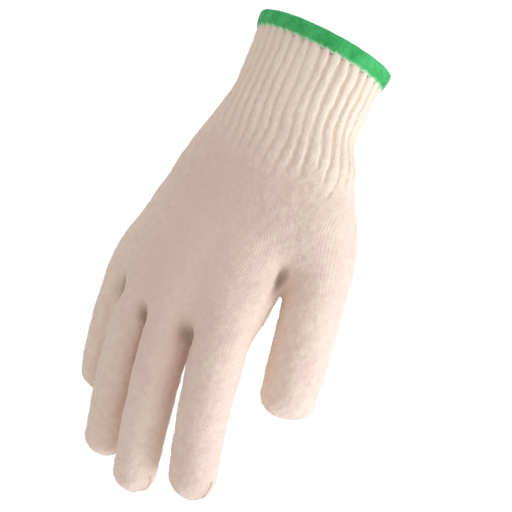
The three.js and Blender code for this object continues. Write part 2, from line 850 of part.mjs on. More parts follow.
function fingerField(i) {
  return (point) => {
    let value = gloveField(point);
    if (i < fingerTable.length - 1) {
      const past = -point.x - partings[i].offsetAt(point.z) + gap / 2;
      value = blendMax(value, past, fingerFlat);
    }
    if (i > 0) {
      const past = point.x + partings[i - 1].offsetAt(point.z) + gap / 2;
      value = blendMax(value, past, fingerFlat);
    }
    return value;
  };
}

const glove = new THREE.Group();
const cotton = '#dcc8b4';
const clothRoughness = 0.95;
fingerTable.forEach((row, i) => {
  const mesh = fingerSolid(fingerTubes[i], fingerBase(i), fingerField(i), ownSide(i));
  glove.add(toMesh(row.name, mesh, cotton, clothRoughness));
});

// thumb
const thumbLoop = thumbForkRays(-gap / 2).map((ray) => withInside(castRay(gloveField, ray, castLimit)));
const thumbPalmStart = thumbColumns + 8 * stripColumns + sideColumns;
const thumbBase = [
  ...thumbLoop.slice(0, thumbColumns),
  moved(thumbLoop[thumbColumns], thumbFacing, gap / 2),
  ...webCurve(thumbWeb, thumbWebColumns, gap / 2).slice(1, -1),
  moved(thumbLoop[thumbPalmStart], thumbFacing, gap / 2),
  ...thumbLoop.slice(thumbPalmStart + 1),
];
const thumbField = (point) => {
  const past = thumbParting.offsetAt(point.z) - point.dot(thumbFacing) + gap / 2;
  return blendMax(gloveField(point), past, fingerFlat);
};
const thumbMesh = fingerSolid(thumb, thumbBase, thumbField, (point) => point);
glove.add(toMesh('thumb', thumbMesh, cotton, clothRoughness));

// a net of points: each point's neighbours along its ring and in the rings above and below
function linkRings(links, rings) {
  const link = (a, b) => {
    links.set(a, (links.get(a) ?? new Set()).add(b));
    links.set(b, (links.get(b) ?? new Set()).add(a));
  };
  rings.forEach((ring, i) => {
    ring.forEach((point, j) => {
      link(point, ring[(j + 1) % ring.length]);
      if (i > 0) {
        link(point, rings[i - 1][j]);
      }
    });
  });
}

// spreads the points of a net evenly along the glove's surface, with some of them held in place
function evenOut(links, held, rounds) {
  for (let round = 0; round < rounds; round += 1) {
    const places = new Map();
    links.forEach((others, point) => {
      if (!held.has(point)) {
        const step = new THREE.Vector3();
        others.forEach((other) => step.add(other));
        step.divideScalar(others.size).sub(point);
        const out = slopeAt(gloveField, point);
        step.addScaledVector(out, -step.dot(out));
        const place = point.clone().addScaledVector(step, 0.5);
        places.set(point, place.addScaledVector(out, -gloveField(place)));
      }
    });
    places.forEach((place, point) => point.copy(place));
  }
}

// palm: the upper part goes round the thumb, the lower part only round the four fingers
const evenRounds = 30;
function palmSolid() {
  const topAngles = cuffAngles(upperColumns);
  const top = -cuffLength - gap / 2;
  const bottom = thumbForkRays(gap / 2);
  const bottomLevel = thumbWeb.z + gap / 2;
  const upperRings = [];
  for (let i = 0; i <= upperRows; i += 1) {
    const u = i / upperRows;
    const z = lerp(top, bottomLevel, u);
    upperRings.push(bottom.map((ray, j) => {
      const level = { from: ray.from.clone().setZ(z), toward: ray.toward };
      const mixed = mixRay(cuffRay(z, topAngles[j]), level, smooth(u));
      return castRay(gloveField, mixed, castLimit);
    }));
  }

  const last = upperRings[upperRows];
  const web = webCurve(thumbWeb, thumbWebColumns, -gap / 2).slice(1, -1).reverse();
  const webPoints = web.map((end) => end.outer);
  const thumbRing = [
    ...last.slice(thumbPalmStart), ...last.slice(0, thumbColumns + 1), ...[...webPoints].reverse(),
  ];
  const lowerRings = [[...last.slice(thumbColumns, thumbPalmStart + 1), ...webPoints]];
  const ends = forkRays(gap / 2);
  const starts = lowerRings[0].map((point, j) => {
    if (j <= 8 * stripColumns + sideColumns) {
      return { z: point.z, ray: bottom[thumbColumns + j] };
    }
    const from = axisAt(fingerTubes[0], point.z).point.setZ(point.z);
    return { z: point.z, ray: { from, toward: point.clone().sub(from).normalize() } };
  });
  for (let i = 1; i <= lowerRows; i += 1) {
    const u = i / lowerRows;
    lowerRings.push(ends.map((end, j) => {
      const z = lerp(starts[j].z, end.from.z, u);
      const mixed = mixRay(starts[j].ray, end, u);
      mixed.from.setZ(z);
      return castRay(gloveField, mixed, castLimit);
    }));
  }

  const links = new Map();
  linkRings(links, upperRings);
  linkRings(links, lowerRings);
  evenOut(links, new Set([...upperRings[0], ...thumbRing, ...lowerRings[lowerRows]]), evenRounds);

  const mesh = { points: [], faces: [] };
  const insideWeb = new Map(web.map((end) => [end.outer, end.inner]));
  const vertices = new Map();
  const verticesOf = (point) => {
    if (!vertices.has(point)) {
      const inner = insideWeb.get(point) ?? insideOf(gloveField, point);
      vertices.set(point, { outer: addVertex(mesh, point), inner: addVertex(mesh, inner) });
    }
    return vertices.get(point);
  };
  const indices = (ring, side) => ring.map((point) => verticesOf(point)[side]);
  for (const rings of [upperRings, lowerRings]) {
    for (let i = 1; i < rings.length; i += 1) {
      addRow(mesh, indices(rings[i - 1], 'outer'), indices(rings[i], 'outer'), false);
      addRow(mesh, indices(rings[i - 1], 'inner'), indices(rings[i], 'inner'), true);
    }
  }
  addRow(mesh, indices(upperRings[0], 'inner'), indices(upperRings[0], 'outer'), false);
  addRow(mesh, indices(thumbRing, 'outer'), indices(thumbRing, 'inner'), false);
  addRow(mesh, indices(lowerRings[lowerRows], 'outer'), indices(lowerRings[lowerRows], 'inner'), false);
  return mesh;
}
glove.add(toMesh('palm', palmSolid(), cotton, clothRoughness));

// ribbed cuff: its ribs die out at both ends, and its upper edge stands inside the hem
function cuffPoint(z, angle, outward) {
  const point = castRay(gloveField, cuffRay(z, angle), castLimit);
  const away = slopeAt(gloveField, point);
  return point.addScaledVector(away, outward);
}

function cuffSolid() {
  const mesh = { points: [], faces: [] };
  const columns = ribCount * ribColumns;
  const angles = cuffAngles(columns);
  const top = -hemThickness - gap;
  const bottom = -cuffLength + gap / 2;
  const rows = [];
  for (let i = 0; i <= cuffRows; i += 1) {
    const underHem = -hemHeight - gap;
    const z = i < 2 ? lerp(top, underHem, i) : lerp(underHem, bottom, (i - 1) / (cuffRows - 1));
    const rising = i < 2 ? 0 : smooth((bottom - z) / (0.25 * (bottom - underHem)) + 1);
    const fall = smooth((z - bottom) / (0.25 * cuffLength));
    const rib = ribRise * (i < 2 ? 0 : 1) * fall * Math.max(rising, 1);
    const outer = angles.map((angle, j) => cuffPoint(z, angle, j % ribColumns ? rib / 2 : -rib / 2));
    const inner = angles.map((angle, j) => (
      cuffPoint(z, angle, (j % ribColumns ? rib / 4 : -rib / 4) - wall)
    ));
    rows.push(addSurfaceRow(mesh, outer, inner));
  }
  for (let i = 0; i < cuffRows; i += 1) {
    addRow(mesh, rows[i].outer, rows[i + 1].outer, false);
    addRow(mesh, rows[i].inner, rows[i + 1].inner, true);
  }
  addRow(mesh, rows[0].inner, rows[0].outer, false);
  addRow(mesh, rows[cuffRows].outer, rows[cuffRows].inner, false);
  return mesh;
}
glove.add(toMesh('rib_cuff', cuffSolid(), cotton, clothRoughness));

// hem: a thread-wrapped edge in the form of an upturned channel over the cuff's upper edge
const hemProfile = [
  { down: 0.0, side: 1, face: 0.35 },
  { down: 0.12, side: 1, face: 0.85 },
  { down: 0.3, side: 1, face: 1 },
  { down: 0.8, side: 1, face: 1 },
  { down: 1.0, side: 1, face: 0.7 },
];
function hemSolid() {
  const mesh = { points: [], faces: [] };
  const angles = cuffAngles(2 * ribCount);
  const outside = (z, face) => angles.map((angle) => cuffPoint(z, angle, gap + face * hemThickness));
  const inside = (z, face) => angles.map((angle) => (
    cuffPoint(z, angle, -wall - gap - face * hemThickness)
  ));
  const loops = hemProfile.map((row) => outside(-row.down * hemHeight, row.face));
  const slotTop = -hemThickness;
  loops.push(angles.map((angle) => cuffPoint(-hemHeight, angle, gap)));
  loops.push(angles.map((angle) => cuffPoint(slotTop, angle, gap)));
  loops.push(angles.map((angle) => cuffPoint(slotTop, angle, -wall - gap)));
  loops.push(angles.map((angle) => cuffPoint(-hemHeight, angle, -wall - gap)));
  for (const row of [...hemProfile].reverse()) {
    loops.push(inside(-row.down * hemHeight, row.face));
  }
  const rings = loops.map((loop) => loop.map((point) => addVertex(mesh, point)));
  rings.forEach((ring, i) => addRow(mesh, ring, rings[(i + 1) % rings.length], false));
  return mesh;
}
glove.add(toMesh('overlock_hem', hemSolid(), '#2f9650', 0.8));

export default glove;
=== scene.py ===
import bpy
import math
import time
import numpy as np
from mathutils import Matrix, Vector


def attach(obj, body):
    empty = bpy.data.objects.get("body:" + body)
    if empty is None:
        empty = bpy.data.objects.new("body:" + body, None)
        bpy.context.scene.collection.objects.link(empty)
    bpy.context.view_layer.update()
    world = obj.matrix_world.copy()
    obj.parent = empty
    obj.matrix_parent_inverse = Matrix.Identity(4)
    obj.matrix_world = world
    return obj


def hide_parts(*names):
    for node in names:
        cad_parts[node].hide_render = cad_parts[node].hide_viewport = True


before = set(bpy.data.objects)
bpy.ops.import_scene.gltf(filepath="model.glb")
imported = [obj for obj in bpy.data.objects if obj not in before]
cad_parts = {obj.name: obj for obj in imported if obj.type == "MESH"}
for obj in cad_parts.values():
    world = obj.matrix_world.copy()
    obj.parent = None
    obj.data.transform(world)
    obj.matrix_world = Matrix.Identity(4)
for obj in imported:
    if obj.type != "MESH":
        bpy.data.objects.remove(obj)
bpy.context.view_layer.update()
startTime = time.time()
mm = 0.001


def stageNote(text):
    print(f"{time.time() - startTime:6.1f} s  {text}")


# camera at the photo's angle: a little below the mouth of the cuff, on the thumb side of the back
camera = dict(azimuth=34.0, elevation=-8.0, roll=25.5, distance=900.0, pixelsPerMm=2.1,
              target=(15.8, 0.0, -111.5), shift=(1.0, 0.0), photoPixels=512, sensor=36)

# the form of the glove, in mm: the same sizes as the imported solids
cuff = dict(length=58.0, breadth=69.6, depth=53.0, tilt=5.3, tiltToward=6.0, tiltFade=0.3, top=-1.6)
palm = dict(length=88.0, breadth=90.0, depth=44.0, webRise=8.0, thumbWebRise=11.0, endAt=0.875,
            rounding=0.28, ulnarRise=0.15, riseFrom=-0.28, riseOver=0.3, boneReach=0.52,
            boneTaper=0.55, boneSink=0.057, leanOver=0.25, archTo=1.2, middleArchTo=1.4,
            forkLifts=(0.25, 0.6), farEdge=0.7)
# how far the tubes flow into each other, in mm, and where that changes, in palm lengths
blend = dict(hand=9.0, finger=2.5, thumb=24.0, fork=3.0, heelShare=0.3, upperMore=0.8, upperFrom=0.09,
             upperOver=0.28, forkAt=0.68, forkOver=0.18, heelOver=0.35)
# where the partings between neighbours are looked for, in palm lengths, and the palm's edge by the thumb
partingAt = dict(finger=0.55, thumb=0.3, thumbAbove=0.1, thumbBelow=0.3)
thumbEdge = dict(inset=0.85, lift=0.4, along=0.8)
wall = 1.8

# at, middle, breadth, depth
cuffSections = [
    (-0.17, 0.009, 1.086, 1.08),
    (0.0, 0.009, 1.075, 1.07),
    (0.2, 0.009, 1.03, 1.026),
    (0.59, 0.02, 1.0, 1.0),
    (0.79, 0.015, 1.045, 1.02),
]
# at, middle, lift, breadth, depth, arch, square
palmSections = [
    (0.0, 0.016, 0.011, 0.925, 1.22, 0.011, 2.05),
    (0.193, -0.03, 0.023, 0.97, 1.16, 0.045, 2.15),
    (0.42, -0.08, 0.023, 0.975, 1.0, 0.091, 2.25),
    (0.648, -0.108, 0.0, 0.945, 0.841, 0.136, 2.35),
    (0.875, -0.138, -0.034, 0.952, 0.727, 0.193, 2.4),
    (1.045, -0.17, -0.057, 0.955, 0.627, 0.227, 2.4),
]
fingers = [
    dict(name="index_finger", length=88.0, breadth=27.6, root=(0.188, 0.04, 0.977), lean=5.0,
         palmLean=6.0, curl=(7.0, 26.0), wide=(1, 0.935, 0.862), deep=(0.957, 0.899, 0.783)),
    dict(name="middle_finger", length=94.4, breadth=24.2, root=(-0.116, -0.045, 1.0), lean=2.8,
         palmLean=-5.0, curl=(7.0, 26.0), wide=(1, 0.968, 0.903), deep=(1.048, 0.968, 0.839)),
    dict(name="ring_finger", length=88.4, breadth=23.6, root=(-0.377, 0.005, 0.955), lean=0.4,
         palmLean=-14.0, curl=(8.0, 28.0), wide=(1, 0.949, 0.864), deep=(1.051, 0.966, 0.847)),
    dict(name="little_finger", length=67.0, breadth=21.4, root=(-0.562, 0.1, 0.864), lean=-1.8,
         palmLean=-25.0, curl=(8.0, 28.0), wide=(1, 0.99, 0.885), deep=(1.058, 0.981, 0.885)),
]
webDowns = (1.175, 1.155, 1.045)
thumbForm = dict(length=118.0, breadth=29.0, root=(0.244, 0.091, -0.068), tip=0.36, webDown=0.85,
                 wide=(0.8, 0.6, 0.0), facing=(0.77, 0.64, 0.0), outer=(-75.0, 95.0))
# at, across, forward, down, breadth, depth
thumbSections = [
    (0.0, 0.0, 0.0, 0.0, 0.87, 0.98),
    (0.248, 0.1, 0.051, 0.22, 1.03, 1.12),
    (0.427, 0.16, 0.102, 0.381, 1.08, 1.12),
    (0.586, 0.18, 0.144, 0.534, 1.04, 1.05),
    (0.761, 0.193, 0.182, 0.703, 1.0, 1.0),
    (0.918, 0.206, 0.216, 0.856, 0.97, 0.96),
    (1.006, 0.213, 0.234, 0.949, 0.9, 0.9),
]
# knitted columns (wales) in each strip of the palm, and rows (courses) along it
knit = dict(strip=9, web=7, thumbWeb=9, side=7, thumb=11, cuffRows=29, upperRows=31, lowerRows=14,
            fingerCourse=1.95, tipRows=6, apart=0.35, apartBlend=1.2)


def unit(v):
    return v / np.maximum(np.linalg.norm(v, axis=-1, keepdims=True), 1e-9)


def smooth(value):
    u = np.clip(value, 0, 1)
    return u * u * (3 - 2 * u)


def blendMin(a, b, reach):
    h = np.maximum(reach - np.abs(a - b), 0) / reach
    return np.minimum(a, b) - h * h * reach / 4


def blendMax(a, b, reach):
    return -blendMin(-a, -b, reach)


# each use of the noise has its own seed
seeds = dict(lumps=20, ribWaver=31, ribLength=33, ribFade=34, ribWobble=35, tipSeam=41, hem=51, hemSag=53)


def softNoise(p, size, seed, cells=48):
    # smooth random values between -1 and 1, with lumps of the given size in mm
    table = np.random.default_rng(seed).uniform(-1, 1, (cells, cells, cells))
    q = p / size
    cell = np.floor(q).astype(int)
    f = smooth(q - cell)
    total = np.zeros(len(p))
    for corner in range(8):
        step = np.array([corner & 1, corner >> 1 & 1, corner >> 2])
        weight = np.prod(np.where(step, f, 1 - f), axis=1)
        i, j, k = np.mod(cell + step, cells).T
        total += weight * table[i, j, k]
    return total


def curveThrough(rows, at):
    # smooth curve through table rows whose first column is the position
    rows = np.asarray(rows, float)
    x, y = rows[:, 0], rows[:, 1:]
    before = np.r_[0, np.arange(len(x) - 1)]
    after = np.r_[np.arange(1, len(x)), len(x) - 1]
    slope = (y[after] - y[before]) / (x[after] - x[before])[:, None]
    at = np.atleast_1d(at)
    i = np.clip(np.searchsorted(x, at) - 1, 0, len(x) - 2)
    step = (x[i + 1] - x[i])
    u = np.clip((at - x[i]) / step, 0, 1)[:, None]
    rise = u * u * (3 - 2 * u)
    bend = u * (1 - u) ** 2 * slope[i] - u * u * (1 - u) * slope[i + 1]
    return y[i] * (1 - rise) + y[i + 1] * rise + step[:, None] * bend


handRows = [(at * cuff["length"], middle * cuff["breadth"], 0, broad * cuff["breadth"] / 2,
             deep * cuff["depth"] / 2, 0, 2) for at, middle, broad, deep in cuffSections]
handRows += [(cuff["length"] + at * palm["length"], middle * palm["breadth"], lift * palm["depth"],
              broad * palm["breadth"] / 2, deep * palm["depth"] / 2, arch * palm["depth"], square)
             for at, middle, lift, broad, deep, arch, square in palmSections]
handRows = np.array(handRows)


def palmLevel(share):
    return -cuff["length"] - share * palm["length"]


def handSection(z):
    return curveThrough(handRows, np.clip(-np.atleast_1d(z), handRows[0, 0], handRows[-1, 0]))


def handField(p):
    middle, lift, broad, deep, arch, square = handSection(p[:, 2]).T
    x = p[:, 0] - middle
    side = np.abs(x / broad)
    y = p[:, 1] - lift - arch * np.minimum(side, palm["archTo"]) ** 2
    ulnar = np.clip((palm["riseFrom"] - p[:, 0] / palm["breadth"]) / palm["riseOver"], 0, 1)
    end = palmLevel(palm["endAt"] - palm["ulnarRise"] * ulnar)
    past = np.maximum(0, end - p[:, 2])
    total = side ** square + np.abs(y / deep) ** square
    total += (past / (palm["rounding"] * palm["length"])) ** square
    reach = total ** (1 / square) + 1e-9
    return np.sqrt(x * x + y * y + past * past) * (1 - 1 / reach)


def finishTube(points, broad, deep, tip, wide):
    along = points.copy()
    along[1:-1] = points[2:] - points[:-2]
    along[0] = points[1] - points[0]
    along[-1] = points[-1] - points[-2]
    along = unit(along)
    wide = np.asarray(wide, float)
    across = unit(wide - along * (along @ wide)[:, None])
    back = np.cross(along, across)
    back[back[:, 1] > 0] *= -1
    at = np.r_[0, np.cumsum(np.linalg.norm(np.diff(points, axis=0), axis=1))]
    return dict(p=points, along=along, across=across, back=back, broad=broad, deep=deep, tip=tip,
                at=at, length=at[-1])


def rootOf(form):
    across, forward, down = form["root"]
    return np.array([across * palm["breadth"], forward * palm["depth"], palmLevel(down)])


def fingerTube(row, steps=30):
    tip = row["breadth"] * row["wide"][2] / 2
    reach = row["length"] - tip
    up = palm["boneReach"] * palm["length"]
    root = rootOf(row)
    stations = np.linspace(-up, reach, steps + 1)
    middle = (stations[1:] + stations[:-1]) / 2
    inPalm = np.clip(-middle / up, 0, 1)
    curl = row["curl"][0] + (row["curl"][1] - row["curl"][0]) * np.clip(middle / row["length"], 0, 1)
    curl = np.radians(curl * (1 - inPalm))
    turned = np.clip(-middle / (up * palm["leanOver"]), 0, 1)
    lean = row["lean"] + (row["palmLean"] - row["lean"]) * turned
    lean = np.radians(lean)
    heading = np.stack([np.sin(lean) * np.cos(curl), np.sin(curl), -np.cos(lean) * np.cos(curl)], 1)
    points = np.vstack([np.zeros(3), np.cumsum(heading * np.diff(stations)[:, None], axis=0)])
    here = [np.interp(0, stations, points[:, k]) for k in range(3)]
    points += root - np.array(here)
    inPalm = np.clip(-stations / up, 0, 1)
    points[:, 1] += palm["boneSink"] * 2 * palm["depth"] * inPalm ** 2
    taper = 1 - palm["boneTaper"] * inPalm ** 2
    share = np.clip(stations / reach, 0, 1)
    halves = [(at, w, d) for at, w, d in zip((0, 0.5, 1), row["wide"], row["deep"])]
    sizes = curveThrough(halves, share) * row["breadth"] / 2 * taper[:, None]
    return finishTube(points, sizes[:, 0], sizes[:, 1], tip, (1, 0, 0))


def thumbTube(steps=30):
    form = thumbForm
    root = rootOf(form)
    at = np.linspace(0, thumbSections[-1][0], steps + 1)
    rows = curveThrough(thumbSections, at)
    points = root + rows[:, :3] * np.array([1, 1, -1]) * form["length"]
    sizes = rows[:, 3:] * form["breadth"] / 2
    return finishTube(points, sizes[:, 0], sizes[:, 1], form["tip"] * form["breadth"], form["wide"])


tubes = [fingerTube(row) for row in fingers]
thumb = thumbTube()


def nearestOn(tube, p):
    a = tube["p"][:-1]
    ab = tube["p"][1:] - a
    pa = p[:, None, :] - a[None]
    u = np.clip((pa * ab[None]).sum(2) / (ab ** 2).sum(1), 0, 1)
    away = pa - u[..., None] * ab[None]
    j = (away ** 2).sum(2).argmin(1)
    r = np.arange(len(p))
    return j, u[r, j], away[r, j]


def mixOn(tube, key, j, u):
    values = tube[key]
    if values.ndim > 1:
        return values[j] * (1 - u)[:, None] + values[j + 1] * u[:, None]
    return values[j] * (1 - u) + values[j + 1] * u


def tubeField(tube, p):
    j, u, away = nearestOn(tube, p)
    along = unit(mixOn(tube, "along", j, u))
    across = unit(mixOn(tube, "across", j, u))
    back = unit(mixOn(tube, "back", j, u))
    at = mixOn(tube, "at", j, u)
    ended = (at >= tube["length"] - 1e-6) | (at <= 1e-6)
    t = np.where(ended, (away * along).sum(1), 0)
    w = (away * across).sum(1)
    d = (away * back).sum(1)
    broad, deep = mixOn(tube, "broad", j, u), mixOn(tube, "deep", j, u)
    reach = np.sqrt((w / broad) ** 2 + (d / deep) ** 2 + (t / tube["tip"]) ** 2) + 1e-9
    return np.sqrt(w * w + d * d + t * t) * (1 - 1 / reach)


palmFoot = palmLevel(1)
thumbFork = palmLevel(blend["forkAt"])


def gloveField(p):
    z, length = p[:, 2], palm["length"]
    joined = tubeField(tubes[0], p)
    for tube in tubes[1:]:
        joined = blendMin(joined, tubeField(tube, p), blend["finger"])
    upper = smooth((z - palmFoot - blend["upperFrom"] * length) / (blend["upperOver"] * length))
    hand = blendMin(joined, handField(p), blend["hand"] * (1 + blend["upperMore"] * upper))
    web = smooth((z - thumbFork) / (blend["forkOver"] * length))
    heel = smooth(-(z + cuff["length"]) / (blend["heelOver"] * length))
    reach = blend["thumb"] * (blend["heelShare"] + (1 - blend["heelShare"]) * heel)
    return blendMin(hand, tubeField(thumb, p), blend["fork"] + (reach - blend["fork"]) * web)


def castOut(field, pathAt, count, limit=90.0, leastStep=0.6, stepShare=0.8, steps=50, halvings=13):
    # walks out from inside the glove until the field is zero, then halves the last step
    near, far = np.zeros(count), np.zeros(count)
    value = field(pathAt(near))
    going = np.ones(count, bool)
    for _ in range(steps):
        if not going.any():
            break
        step = np.maximum(leastStep, -stepShare * value)
        far = np.where(going, np.minimum(limit, near + step), far)
        value = np.where(going, field(pathAt(far)), value)
        out = value > 0
        near = np.where(going & ~out, far, near)
        going &= ~out & (far < limit)
    for _ in range(halvings):
        middle = (near + far) / 2
        out = field(pathAt(middle)) > 0
        far = np.where(out, middle, far)
        near = np.where(out, near, middle)
    return pathAt((near + far) / 2)


def castRays(field, start, toward):
    return castOut(field, lambda t: start + toward * t[:, None], len(start))


def tubeAtZ(tube, z):
    # the tube's middle line where it passes the level z
    zs = tube["p"][:, 2]
    at = np.interp(-z, -zs, tube["at"])
    row = [np.interp(at, tube["at"], tube["p"][:, k]) for k in range(3)]
    return np.array(row), np.interp(at, tube["at"], tube["broad"])


def makeParting(facing, upperZ, lowerZ, offsetOf):
    upper, lower = offsetOf(upperZ), offsetOf(lowerZ)
    facing = np.asarray(facing, float)
    sideways = np.array([-facing[1], facing[0], 0]) * (-1 if facing[0] < 0 else 1)
    return dict(facing=facing, sideways=sideways,
                offset=lambda z: upper + (lower - upper) * (z - upperZ) / (lowerZ - upperZ))


def fingerParting(i):
    rootZ = [palmLevel(fingers[k]["root"][2]) for k in (i, i + 1)]
    tipZ = [tubes[k]["p"][-1, 2] for k in (i, i + 1)]

    def offsetOf(z):
        (a, broadA), (b, broadB) = tubeAtZ(tubes[i], z), tubeAtZ(tubes[i + 1], z)
        return -(a[0] * broadB + b[0] * broadA) / (broadA + broadB)
    return makeParting((-1, 0, 0), min(rootZ), max(tipZ), offsetOf)


thumbFacing = unit(np.array(thumbForm["facing"]))


def thumbOffset(z):
    middle, lift, broad, deep, arch, _ = handSection(z)[0]
    inset = thumbEdge["inset"] * deep
    edge = np.array([middle + broad - inset, lift + arch * thumbEdge["lift"], 0])
    point, thumbBroad = tubeAtZ(thumb, z)
    return (thumbFacing @ point - thumbBroad + thumbFacing @ edge + inset) / 2


partings = [fingerParting(i) for i in range(3)]
thumbParting = makeParting(thumbFacing, thumbFork + partingAt["thumbAbove"] * palm["length"],
                           thumbFork - partingAt["thumbBelow"] * palm["length"], thumbOffset)


def onParting(parting, along, z):
    p = parting["facing"] * np.asarray(parting["offset"](z))[..., None]
    p = p + parting["sideways"] * np.asarray(along)[..., None]
    p[..., 2] = z
    return p


def midY(x, z):
    middle, lift, broad, _, arch, _ = handSection(z).T
    return lift + arch * np.minimum(((x - middle) / broad) ** 2, palm["middleArchTo"])


def fingerAlong(parting):
    return lambda z: midY(-parting["offset"](z), z)


def thumbAlong(z):
    middle, _, broad, _, _, _ = handSection(z).T
    edgeX = middle + broad * thumbEdge["along"]
    edge = np.stack([edgeX, midY(edgeX, z), 0 * edgeX], 1)
    points = np.array([tubeAtZ(thumb, one)[0] for one in np.atleast_1d(z)])
    return ((points + edge) @ thumbParting["sideways"]) / 2


def makeWeb(parting, alongAt, startZ, foot, rise):
    path = lambda t: onParting(parting, alongAt(startZ - t), startZ - t)
    lowest = max(castOut(gloveField, path, 1, startZ - foot)[0, 2], foot)
    z = lowest + rise
    return dict(parting=parting, z=z, along=float(np.atleast_1d(alongAt(np.array([z])))[0]),
                lowest=lowest, rise=rise)


def webCurve(web, columns):
    # the curve that two neighbours share, from the back of the glove round to the palm
    angle = np.pi * np.arange(columns + 1) / columns
    field = lambda p: blendMax(gloveField(p), web["lowest"] - p[:, 2], web["rise"] / 2)
    path = lambda t: onParting(web["parting"], web["along"] - np.cos(angle) * t,
                               web["z"] - np.sin(angle) * t)
    return castOut(field, path, columns + 1)


webs = [makeWeb(parting, fingerAlong(parting), palmLevel(partingAt["finger"]),
                palmLevel(webDowns[i]), palm["webRise"])
        for i, parting in enumerate(partings)]
thumbWeb = makeWeb(thumbParting, thumbAlong, palmLevel(partingAt["thumb"]),
                   palmLevel(thumbForm["webDown"]), palm["thumbWebRise"])
stageNote("form of the glove and webs")


def fan(start, first, last, columns):
    angle = np.radians(first + (last - first) * np.arange(columns) / columns)
    toward = np.stack([np.cos(angle), np.sin(angle), 0 * angle], 1)
    return np.repeat(start[None], columns, 0), toward


def strip(a, b, towardA, towardB, columns):
    u = (np.arange(columns) / columns)[:, None]
    return a * (1 - u) + b * u, unit(towardA * (1 - u) + towardB * u)


straightBack = np.array([0.0, -1.0, 0.0])


def handRays(spine, radialBack):
    backs = [radialBack] + [straightBack] * (len(spine) - 1)
    parts = []
    for i in range(4):
        parts.append(strip(spine[i], spine[i + 1], backs[i], backs[i + 1], knit["strip"]))
    parts.append(fan(spine[4], -90, -270, knit["side"]))
    for i in (4, 3, 2, 1):
        parts.append(strip(spine[i], spine[i - 1], -backs[i], -backs[i - 1], knit["strip"]))
    return parts


def joinRays(parts):
    return np.vstack([p[0] for p in parts]), np.vstack([p[1] for p in parts])


def forkRays():
    ends = zip((tubes[0], tubes[3]), (webs[0], webs[2]), palm["forkLifts"])
    radial, ulnar = (tubeAtZ(tube, web["z"] + lift * palm["webRise"])[0] for tube, web, lift in ends)
    between = []
    for web in webs:
        x = -web["parting"]["offset"](web["z"])
        between.append(np.array([x, midY(x, np.array([web["z"]]))[0], web["z"]]))
    parts = handRays([radial, *between, ulnar], straightBack)
    return joinRays(parts + [fan(radial, 90, -90, knit["thumbWeb"])])


def thumbForkRays():
    z = thumbWeb["z"]
    middle, _, broad, deep, _, _ = handSection(z)[0]
    ulnarX = middle - broad + palm["farEdge"] * deep
    ulnar = np.array([ulnarX, midY(ulnarX, np.array([z]))[0], z])
    start = onParting(thumbParting, thumbWeb["along"], z)
    spine = []
    for i in range(5):
        p = start + (ulnar - start) * i / 4
        inHand = smooth(2 * i / 4)
        p[1] = p[1] * (1 - inHand) + midY(p[0], np.array([z]))[0] * inHand
        spine.append(p)
    back = -thumbParting["sideways"]
    thumbFrom = tubeAtZ(thumb, z)[0]
    outer = [np.array([math.cos(math.radians(a)), math.sin(math.radians(a)), 0])
             for a in thumbForm["outer"]]
    parts = [strip(thumbFrom, start, outer[0], back, knit["thumb"])]
    parts += handRays(spine, back)
    parts += [strip(start, thumbFrom, -back, outer[1], knit["thumb"]),
              fan(thumbFrom, thumbForm["outer"][1], thumbForm["outer"][0], knit["side"])]
    return joinRays(parts)


def cuffAngles(columns):
    # evenly spread round the cuff's oval, clockwise from above, starting on the thumb's back
    t = np.linspace(0, 2 * np.pi, 1441)
    x, y = cuff["breadth"] / 2 * np.cos(t), cuff["depth"] / 2 * np.sin(t)
    length = np.r_[0, np.cumsum(np.hypot(np.diff(x), np.diff(y)))]
    turn = (knit["thumb"] + 2 * knit["strip"]) / upperCount
    share = np.mod(0.75 + turn - np.arange(columns) / columns, 1)
    at = np.interp(share * length[-1], length, t)
    return np.arctan2(cuff["depth"] / 2 * np.sin(at), cuff["breadth"] / 2 * np.cos(at))


def cuffRays(z, angle):
    middle, lift = handSection(np.array([z]))[0, :2]
    tilt = math.tan(math.radians(cuff["tilt"]))
    tilt *= 1 - smooth((-z - cuff["length"]) / (cuff["tiltFade"] * palm["length"]))
    toward = np.stack([np.cos(angle), np.sin(angle),
                       -tilt * np.cos(angle - math.radians(cuff["tiltToward"]))], 1)
    return np.repeat(np.array([[middle, lift, z]]), len(angle), 0), unit(toward)


class Surface:
    # one connected mesh of stitches: each face is one stitch, with its wale and course as its UV
    def __init__(self):
        self.points, self.quads, self.uvs, self.parts = [], [], [], []
        self.count = 0

    def addPoints(self, points):
        self.points.append(np.asarray(points))
        first = self.count
        self.count += len(points)
        return np.arange(first, self.count)

    def addRow(self, upper, lower, course, part, wale=0):
        n = len(upper)
        j = np.arange(n)
        k = (j + 1) % n
        self.quads.append(np.stack([upper[j], upper[k], lower[k], lower[j]], 1))
        u = np.stack([j, j + 1, j + 1, j], 1) + wale
        v = np.full((n, 4), float(course))
        v[:, 2:] += 1
        self.uvs.append(np.stack([u, v], 2))
        self.parts.append(np.full(n, part))

    def arrays(self):
        return (np.vstack(self.points), np.vstack(self.quads), np.vstack(self.uvs),
                np.concatenate(self.parts))


partNames = ["rib_cuff", "palm", "index_finger", "middle_finger", "ring_finger", "little_finger",
             "thumb"]
upperCount = 8 * knit["strip"] + 2 * knit["thumb"] + 2 * knit["side"]
surface = Surface()

angles = cuffAngles(upperCount)


def knitCuff():
    row = None
    for i in range(knit["cuffRows"] + 1):
        z = cuff["top"] + (-cuff["length"] - cuff["top"]) * i / knit["cuffRows"]
        nextRow = surface.addPoints(castRays(gloveField, *cuffRays(z, angles)))
        if row is not None:
            surface.addRow(row, nextRow, i - 1, 0)
        row = nextRow
    return row


